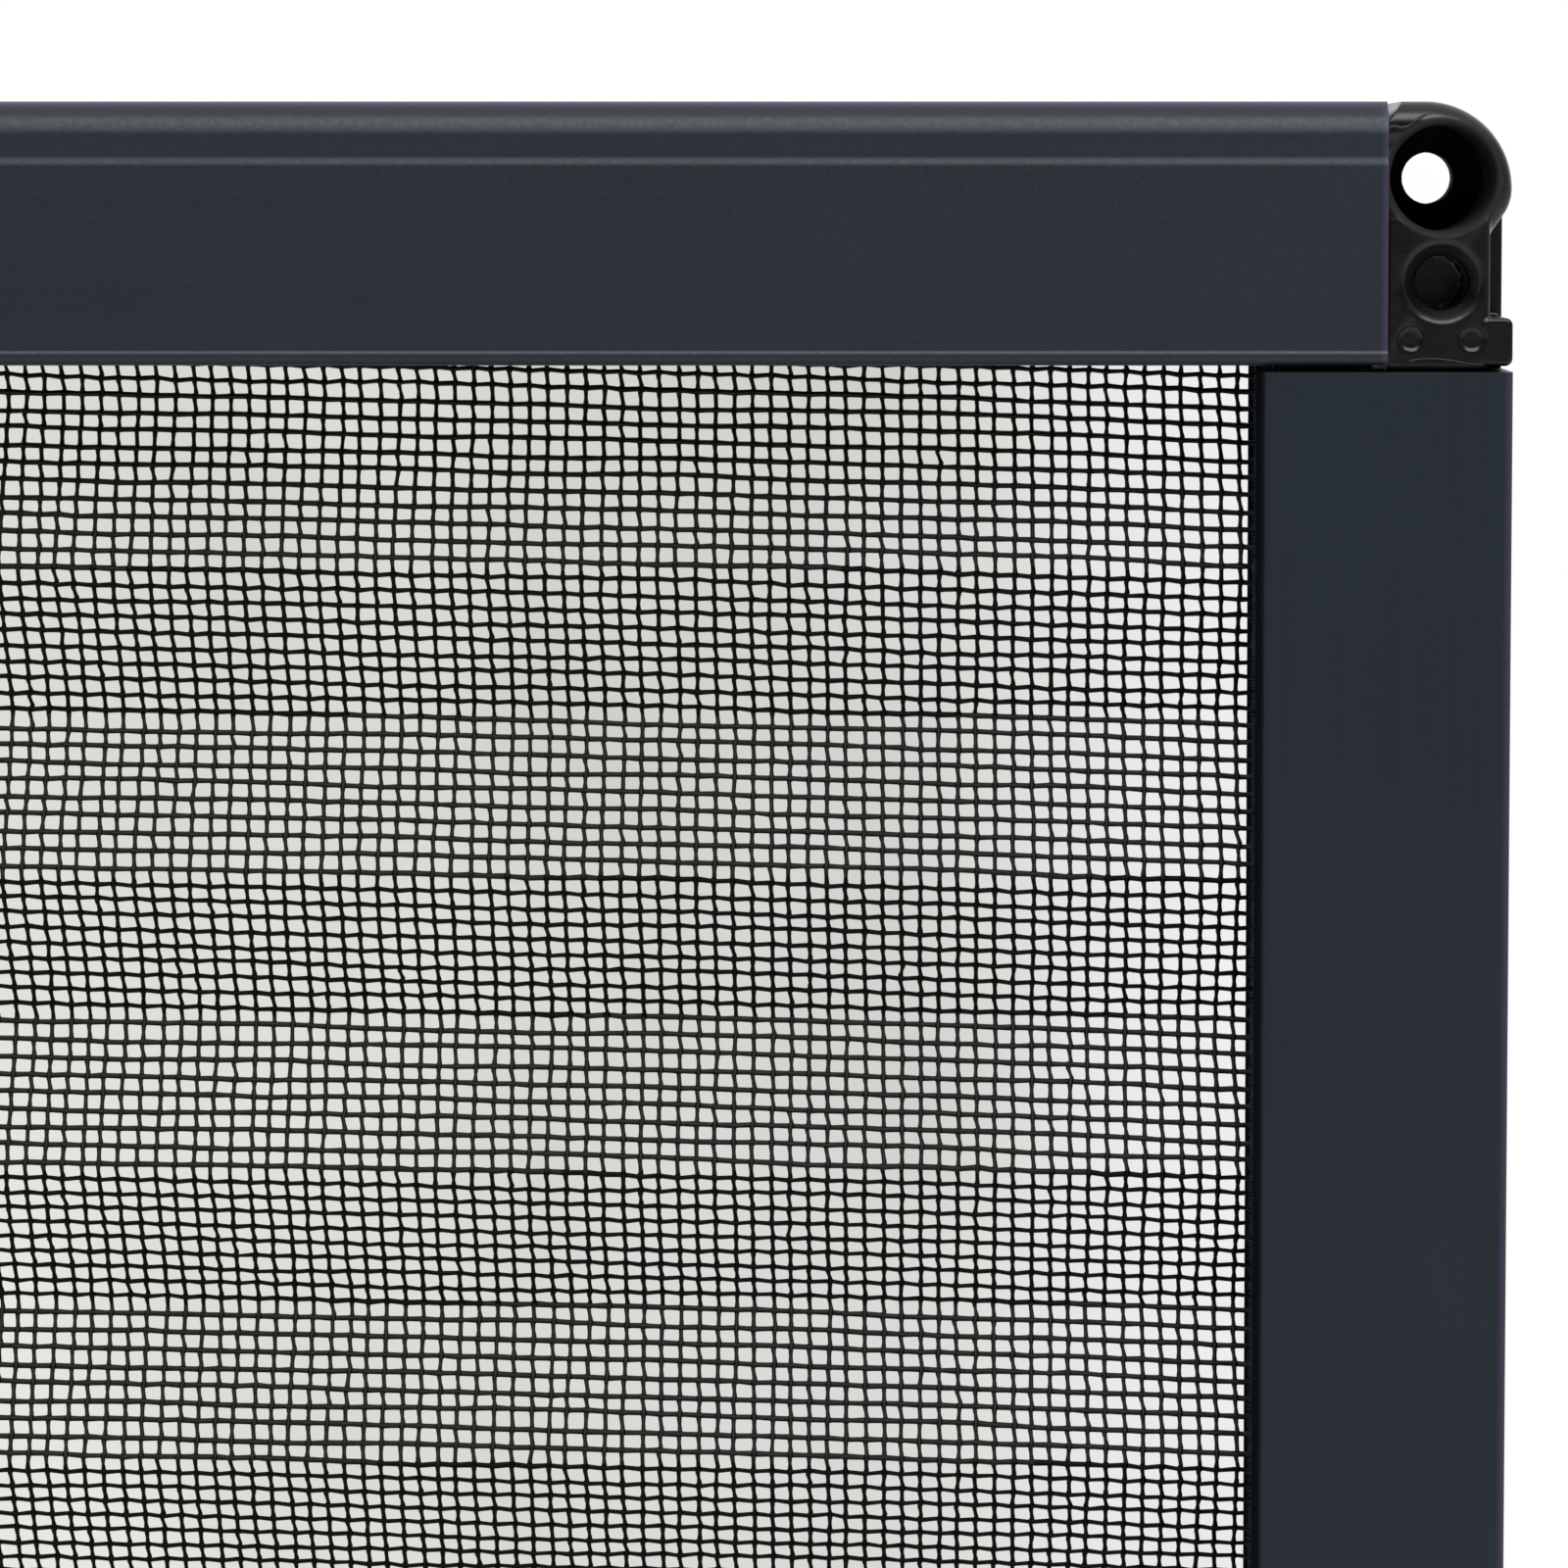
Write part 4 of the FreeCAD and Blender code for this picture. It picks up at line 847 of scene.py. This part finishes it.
def ring_tube(cx, cy, cz, ax, ay, az, bx, by, bz, wa, wb, sides, turn=0.0):
    """Tubes along the last axis. (a) and (b) are the section's unit directions and wa, wb its half
    widths. Returns points and quads; the ends stay open."""
    n, m = cx.shape
    phi = (np.arange(sides) + turn) * 2 * np.pi / sides
    c, s = np.cos(phi), np.sin(phi)
    px = cx[..., None] + ax[..., None] * wa[..., None] * c + bx[..., None] * wb[..., None] * s
    py = cy[..., None] + ay[..., None] * wa[..., None] * c + by[..., None] * wb[..., None] * s
    pz = cz[..., None] + az[..., None] * wa[..., None] * c + bz[..., None] * wb[..., None] * s
    v = np.stack([px, py, pz], -1).reshape(-1, 3)
    i = np.arange(n)[:, None, None] * m * sides
    j = np.arange(m - 1)[None, :, None] * sides
    k = np.arange(sides)[None, None, :]
    k2 = (k + 1) % sides
    q = np.stack([i + j + k, i + j + k2, i + j + sides + k2, i + j + sides + k], -1).reshape(-1, 4)
    return v, q


def smooth_noise(count, length, step, amount):
    """count lines of smooth noise sampled at 0..length, one value per unit."""
    n = int(length / step) + 4
    k = rng.normal(0.0, amount, (count, n))
    return k


def at_noise(table, row, x, step):
    f = np.clip(x / step, 0, table.shape[1] - 2.001)
    i = f.astype(int)
    t = f - i
    t = t * t * (3 - 2 * t)
    return table[row, i] * (1 - t) + table[row, i + 1] * t


COLS = int(2 * HALF / PITCH) + 1
U0 = -HALF + 0.15
ROWS_BEFORE = 5
ROWS = int(TOTAL / PITCH) + ROWS_BEFORE + 2
col_noise = smooth_noise(COLS + 1, TOTAL + 20, 9.0, 0.055)
row_noise = smooth_noise(ROWS + 1, 2 * HALF + 20, 11.0, 0.07)
fine_col = rng.normal(0.0, 0.028, (COLS + 1, ROWS + 1))
fine_row = rng.normal(0.0, 0.028, (COLS + 1, ROWS + 1))
slant = rng.normal(0.050, 0.035, (COLS + 1, ROWS + 1))


def column_u(j, s):
    return U0 + PITCH * j + at_noise(col_noise, j, s + 5.0, 9.0)


def row_s(k, u):
    return PITCH * (k - ROWS_BEFORE) + 0.4 + skew(u) + at_noise(row_noise, k, u + HALF + 5.0, 11.0)


CELL = np.array([0.0, 0.2, 0.5, 0.8])  # where an upright thread is sampled between two crossings
CELL_ROW = np.array([0.0, 0.22, 0.78])  # the same for a row
SLANT = np.zeros(11)
SLANT[2], SLANT[8] = -0.8, 0.8


def detailed(name, j0, j1, k0, k1):
    """A patch with every crossing modelled: threads pass over and under, and the coating that runs
    together at each crossing makes them wider there."""
    J = np.arange(j0, j1)
    K = np.arange(k0, k1)
    t = np.append((np.arange(k0, k1)[:, None] + CELL).ravel(), k1)
    jj, tt = np.meshgrid(J, t, indexing="ij")
    kk = np.clip(np.floor(tt + 1e-6).astype(int), 0, ROWS - 1)
    frac = tt - kk
    u = U0 + PITCH * jj
    s = row_s(kk, u) * (1 - frac) + row_s(np.minimum(kk + 1, ROWS), u) * frac
    s = np.clip(s, 0.02, TOTAL - 0.02)
    cross = frac < 0.05
    near_cross = (frac > 0.05) & (np.abs(frac - 0.5) > 0.1)
    odd = np.where((jj + kk) % 2, 1.0, -1.0)
    lean = odd * 0.018 * np.cos(np.pi * frac)
    # between two crossings a vertical slants a little, and is back in its place at the next one
    lean = lean + SLANT[np.round(frac * 10).astype(int)] * slant[jj, kk]
    nudge = fine_col[jj, kk] * (1 - frac) + fine_col[jj, np.minimum(kk + 1, ROWS)] * frac
    u = column_u(jj, s) + nudge + lean
    weave = odd * 0.06 * np.cos(np.pi * frac)
    x, y, z, ty, tz, ny, nz = place(u, s, weave)
    one, zero = np.ones_like(x), np.zeros_like(x)
    wide = np.where(cross, 1.45, np.where(near_cross, 1.08, 0.88)) * (1 + 0.06 * rng.standard_normal(x.shape))
    parts = [ring_tube(x, y, z, one, zero, zero, zero, ny, nz, 0.177 * wide, 0.128 * wide, 4)]
    index = [looks_up(s, 4)]
    t = np.append((np.arange(j0, j1)[:, None] + CELL_ROW).ravel(), j1)
    kk, tt = np.meshgrid(K, t, indexing="ij")
    jj = np.clip(np.floor(tt + 1e-6).astype(int), 0, COLS - 1)
    frac = tt - jj
    u = U0 + PITCH * tt
    s = row_s(kk, u)
    cross = frac < 0.05
    near_cross = (frac > 0.05) & (np.abs(frac - 0.5) > 0.1)
    odd = np.where((jj + kk) % 2, 1.0, -1.0)
    left = column_u(jj, s) + fine_col[jj, kk] + np.where((jj + kk) % 2, 0.018, -0.018)
    j2 = np.minimum(jj + 1, COLS - 1)
    right = column_u(j2, s) + fine_col[j2, kk] + np.where((jj + 1 + kk) % 2, 0.018, -0.018)
    u = np.minimum(np.where(jj + 1 < COLS, left * (1 - frac) + right * frac, left + frac * PITCH), HALF)
    sag = fine_row[jj, kk] * (1 - frac) + fine_row[j2, kk] * frac
    s = np.clip(s + sag - odd * 0.018 * np.cos(np.pi * frac), 0.02, TOTAL - 0.02)
    x, y, z, ty, tz, ny, nz = place(u, s, -odd * 0.06 * np.cos(np.pi * frac))
    one, zero = np.ones_like(x), np.zeros_like(x)
    wide = np.where(cross, 1.22, np.where(near_cross, 1.00, 0.95)) * (1 + 0.06 * rng.standard_normal(x.shape))
    parts.append(ring_tube(x, y, z, zero, ty, tz, zero, ny, nz, 0.226 * wide, 0.128 * wide, 4))
    index.append(looks_up(s, 4))
    o, tris = make_mesh(name, parts, mesh_thread, second=mesh_painted_toplit, index=index)
    return o, tris, (len(J) * PITCH, len(K) * PITCH)


def coarse(name, j0, j1, k0, k1, step=12):
    """A patch with the same threads, straighter: verticals follow the folds, rows run in long spans."""
    J = np.arange(j0, j1)
    K = np.arange(k0, k1)
    u_mid = U0 + PITCH * (j0 + j1) / 2
    # verticals sampled at the folds
    s_lo = PITCH * (k0 - ROWS_BEFORE) + 0.4
    s_hi = PITCH * (k1 - ROWS_BEFORE) + 0.4
    keys = np.array(sorted(set(np.clip(FOLD_S, 0.02, TOTAL - 0.02))))
    jj = J[:, None]
    off = skew(U0 + PITCH * jj)
    lo, hi = np.clip(s_lo + off, 0.02, TOTAL - 0.02), np.clip(s_hi + off, 0.02, TOTAL - 0.02)
    inside = keys[(keys > s_lo - 1) & (keys < s_hi + 7)]
    s = np.concatenate([lo, np.broadcast_to(inside, (len(J), len(inside))), hi], 1)
    s = np.clip(s, lo, hi)
    jb = np.broadcast_to(jj, s.shape)
    x, y, z, ty, tz, ny, nz = place(column_u(jb, s), s, np.zeros_like(s))
    one, zero = np.ones_like(x), np.zeros_like(x)
    parts = [ring_tube(x, y, z, one, zero, zero, zero, ny, nz, 0.222 * one, 0.160 * one, 3, 0.75)]
    index = [looks_up(s, 3)]
    # rows
    t = np.unique(np.concatenate([np.arange(j0, j1, step), [j1]])).astype(float)
    kk, tt = np.meshgrid(K, t, indexing="ij")
    u = np.clip(U0 + PITCH * tt, -HALF, HALF)
    s = row_s(kk, u)
    keep = (s > 0.02) & (s < TOTAL - 0.02)
    s = np.clip(s, 0.02, TOTAL - 0.02)
    x, y, z, ty, tz, ny, nz = place(u, s, np.zeros_like(s))
    one, zero = np.ones_like(x), np.zeros_like(x)
    v, q = ring_tube(x, y, z, zero, ty, tz, zero, ny, nz, 0.270 * one, 0.160 * one, 3, 0.75)
    row_ok = (keep[:, :-1] | keep[:, 1:]).reshape(-1)
    q = q.reshape(len(K), len(t) - 1, 3, 4)[row_ok.reshape(len(K), -1)].reshape(-1, 4)
    parts.append((v, q))
    index.append(looks_up(s, 3).reshape(len(K), len(t) - 1, 3)[row_ok.reshape(len(K), -1)].ravel())
    o, tris = make_mesh(name, parts, mesh_thread, second=mesh_painted_toplit, index=index)
    return o, tris, (len(J) * PITCH, len(K) * PITCH)


j_detail = int((226.0 - U0) / PITCH)
j_a = int((263.0 - U0) / PITCH)
j_b = int((301.0 - U0) / PITCH)
k_detail = ROWS_BEFORE + int(126.0 / PITCH)
k_a = ROWS_BEFORE + int(350.0 / PITCH)
made = [
    detailed("mesh_corner_inner", j_detail, j_a, 0, k_detail),
    detailed("mesh_corner_middle", j_a, j_b, 0, k_detail),
    detailed("mesh_corner_outer", j_b, COLS, 0, k_detail),
    coarse("mesh_upper", 0, j_detail, 0, k_detail),
    coarse("mesh_middle_left", 0, COLS // 2, k_detail, k_a),
    coarse("mesh_middle_right", COLS // 2, COLS, k_detail, k_a),
    coarse("mesh_lower_left", 0, COLS // 2, k_a, ROWS),
    coarse("mesh_lower_right", COLS // 2, COLS, k_a, ROWS),
]
total = 0
for o, tris, flat in made:
    total += tris
    print(o.name, "triangles", tris, "flat mm", [round(f) for f in flat])
    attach(o, "frame")
    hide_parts("pleated_mesh")
    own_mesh(o)
print("mesh triangles", total)

# ------------------------------------------------------------------ pile strips
def fibres(s, root, tip, lean, width):
    """Thin tapered fibres. root and tip are points of the strip's section, s their place along it."""
    a = np.column_stack([root, s])
    b = np.column_stack([tip, s + lean])
    along = (b - a) / np.linalg.norm(b - a, axis=1)[:, None]
    side = np.cross(along, (0.0, 0.0, 1.0))
    side /= np.linalg.norm(side, axis=1)[:, None]
    other = np.cross(along, side)
    v = []
    for p, w in ((a, width), (b, width * 0.55)):
        for k in range(3):
            t = 2 * math.pi * k / 3
            v.append(p + w * (math.cos(t) * side + math.sin(t) * other))
    v = np.stack(v, 1).reshape(-1, 3)
    i = np.arange(len(s))[:, None] * 6
    q = np.concatenate([i + np.array([k, (k + 1) % 3, 3 + (k + 1) % 3, 3 + k]) for k in range(3)])
    return v, q


def strip(section, half, step, loose):
    """A strip with a four-cornered section, whose loose corners wander as tufts do."""
    s = np.linspace(-half, half, int(2 * half / step) + 1)
    v = np.empty((len(s), 4, 3))
    v[:, :, :2] = np.array(section)
    v[:, :, :2] += rng.normal(0.0, 1.0, (len(s), 4, 2)) * np.array(loose)[None, :, None]
    v[:, :, 2] = s[:, None]
    i, k = np.arange(len(s) - 1)[:, None] * 4, np.arange(4)[None, :]
    k2 = (k + 1) % 4
    q = np.stack([i + k, i + k2, i + 4 + k2, i + 4 + k], -1).reshape(-1, 4)
    n = (len(s) - 1) * 4
    q = np.concatenate([q, [(3, 2, 1, 0), (n, n + 1, n + 2, n + 3)]])
    return v.reshape(-1, 3), q


def pile_strip(name, node, body, backing, core, rows, half, order, flip):
    """A pile seal: woven backing, dense pile and the loose fibres at its faces. order puts the
    section's two axes and the strip's length in x, y, z."""
    parts = [strip(backing, half, 40.0, (0, 0, 0, 0)), strip(core, half, 0.9, (0, 0, 0.09, 0.09))]
    for (a0, a1), (b0, b1), places in rows:
        n = len(places)
        t = rng.random((n, 1))
        root = np.array(a0) * (1 - t) + np.array(a1) * t + rng.normal(0, 0.03, (n, 2))
        t = np.clip(t + rng.normal(0, 0.10, (n, 1)), 0, 1)
        tip = np.array(b0) * (1 - t) + np.array(b1) * t
        s = np.clip(places + rng.normal(0, 0.08, n), -half + 0.3, half - 0.3)
        parts.append(fibres(s, root, tip, rng.normal(0, 0.12, n), 0.058))
    out = []
    for v, q in parts:
        v = v[:, order].copy()
        if flip:
            v[:, 0] *= -1
            q = q[:, ::-1]
        out.append((v, q))
    o, tris = make_mesh(name, out, pile_black, smooth=False)
    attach(o, body)
    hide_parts(node)
    return tris


near_photo = np.concatenate([np.arange(-278, 160, 0.45), np.arange(160, 278, 0.15)])
far_away = np.arange(-278, 278, 0.48)
pile_total = 0
for side, flip, places in (("right", False, near_photo), ("left", True, far_away)):
    pile_total += pile_strip(
        "guide_brush_%s_pile" % side, "guide_brush_" + side, "frame",
        [(331.4, -13.05), (336.0, -13.05), (336.0, -12.5), (331.4, -12.5)],
        [(332.0, -12.6), (334.6, -12.6), (335.5, -9.42), (330.42, -9.42)],
        [
            (((331.95, -12.4), (331.98, -12.0)), ((330.12, -9.15), (330.42, -9.5)), places),
            (((332.0, -11.4), (334.4, -11.4)), ((330.25, -9.12), (335.7, -9.12)), places),
        ],
        278.5, [0, 1, 2], flip,
    )
far_away = np.arange(-325.5, 325.5, 0.50)
pile_total += pile_strip(
    "bar_seal_pile", "bar_seal", "slider",
    [(-10.4, -285.85), (-15.0, -285.85), (-15.0, -286.65), (-10.4, -286.65)],
    [(-11.7, -286.5), (-13.7, -286.5), (-14.25, -292.1), (-11.15, -292.1)],
    [
        (((-13.72, -288.7), (-13.72, -288.4)), ((-14.38, -292.38), (-14.25, -292.0)), far_away),
        (((-11.68, -288.7), (-11.68, -288.4)), ((-11.02, -292.38), (-11.15, -292.0)), far_away),
        (((-13.6, -290.5), (-11.8, -290.5)), ((-14.3, -292.38), (-11.1, -292.38)), far_away),
    ],
    326.0, [2, 0, 1], False,
)
print("pile triangles", pile_total)

# ------------------------------------------------------------------ floor and light
floor_mesh = bpy.data.meshes.new("floor")
floor_mesh.from_pydata(
    [(-9, -9, -0.3), (9, -9, -0.3), (9, 1.9, -0.3), (-9, 1.9, -0.3)], [], [(0, 1, 2, 3)]
)
floor = bpy.data.objects.new("floor", floor_mesh)
scene.collection.objects.link(floor)
m, nt, p = material("floor_pale")
c = coords(nt)
tone = mix(nt, span(nt, noise(nt, c, 3.0, 3.0), 0.3, 0.7), (0.74, 0.74, 0.725), (0.78, 0.78, 0.765))
nt.links.new(tone, p.inputs["Base Color"])
p.inputs["Roughness"].default_value = 0.9
p.inputs["Specular IOR Level"].default_value = 0.1
floor_mesh.materials.append(m)

world = bpy.data.worlds.new("studio")
scene.world = world
world.use_nodes = True
wn = world.node_tree
bg = wn.nodes["Background"]
tc = wn.nodes.new("ShaderNodeTexCoord")
sep = wn.nodes.new("ShaderNodeSeparateXYZ")
wn.links.new(tc.outputs["Generated"], sep.inputs["Vector"])


def maths(kind, a, b=0.0, c=0.0):
    n = wn.nodes.new("ShaderNodeMath")
    n.operation = kind
    for socket, value in zip(n.inputs, (a, b, c)):
        if isinstance(value, bpy.types.NodeSocket):
            wn.links.new(value, socket)
        else:
            socket.default_value = value
    return n.outputs[0]


X, Y, Z = sep.outputs
# dark behind the camera and to the left, bright behind the screen and to the right
room = mix(wn, span(wn, Y, -0.35, 0.45), (0.055, 0.057, 0.062), (1.0, 1.0, 1.0))
room = mix(wn, maths("MULTIPLY", span(wn, X, -0.05, -0.6), span(wn, Y, 0.75, 0.3)), room, (0.06, 0.06, 0.065))
room = mix(wn, maths("MULTIPLY", span(wn, X, 0.45, 0.85), span(wn, Y, -0.7, -0.2)), room, (0.34, 0.33, 0.38))
room = mix(wn, span(wn, X, -0.86, -0.94), room, (0.62, 0.62, 0.61))
room = mix(wn, span(wn, Z, 0.45, 0.85), room, (0.85, 0.86, 0.88))
# a pale wall far behind, seen through the mesh, that fades to white above and to the right; the darker band across its
# middle is a painted soft shadow
tilt = maths("DIVIDE", Z, maths("MAXIMUM", Y, 0.05))
turn = maths("DIVIDE", X, maths("MAXIMUM", Y, 0.05))
patch = maths("MULTIPLY", span(wn, tilt, 0.002, -0.032), span(wn, turn, 0.098, 0.060))
patch = maths("MULTIPLY", patch, span(wn, Y, 0.7, 0.9))
cloud = noise(wn, stretch(wn, tc.outputs["Generated"], 1.0, 1.0, 0.6), 14.0, 2.0, 0.5)
side = span(wn, turn, -0.17, 0.055)
# the ramp's darker middle stops are the painted soft shadow band on that wall
wall = ramp(wn, side, [(0.0, (0.78, 0.78, 0.735)), (0.45, (0.62, 0.62, 0.58)), (0.75, (0.62, 0.625, 0.59)), (1.0, (0.86, 0.865, 0.85))])
wall = mix(wn, span(wn, cloud, 0.35, 0.65), mix(wn, 0.10, wall, (0.35, 0.36, 0.33)), mix(wn, 0.22, wall, (1.0, 1.0, 0.99)))
room = mix(wn, patch, room, wall)
wn.links.new(room, bg.inputs["Color"])
bg.inputs["Strength"].default_value = 1.0


def area(name, at, aim, size, power, colour=(1, 1, 1)):
    d = bpy.data.lights.new(name, "AREA")
    d.shape = "RECTANGLE"
    d.size, d.size_y = size
    d.energy = power
    d.color = colour
    o = bpy.data.objects.new(name, d)
    scene.collection.objects.link(o)
    o.location = at
    o.rotation_euler = (Vector(aim) - Vector(at)).to_track_quat("-Z", "Y").to_euler()
    return o


area("key_above", (0.50, -0.99, 1.27), (0.50, 0.0, 0.28), (1.4, 0.76), 13.4, (0.91, 0.965, 1.0))
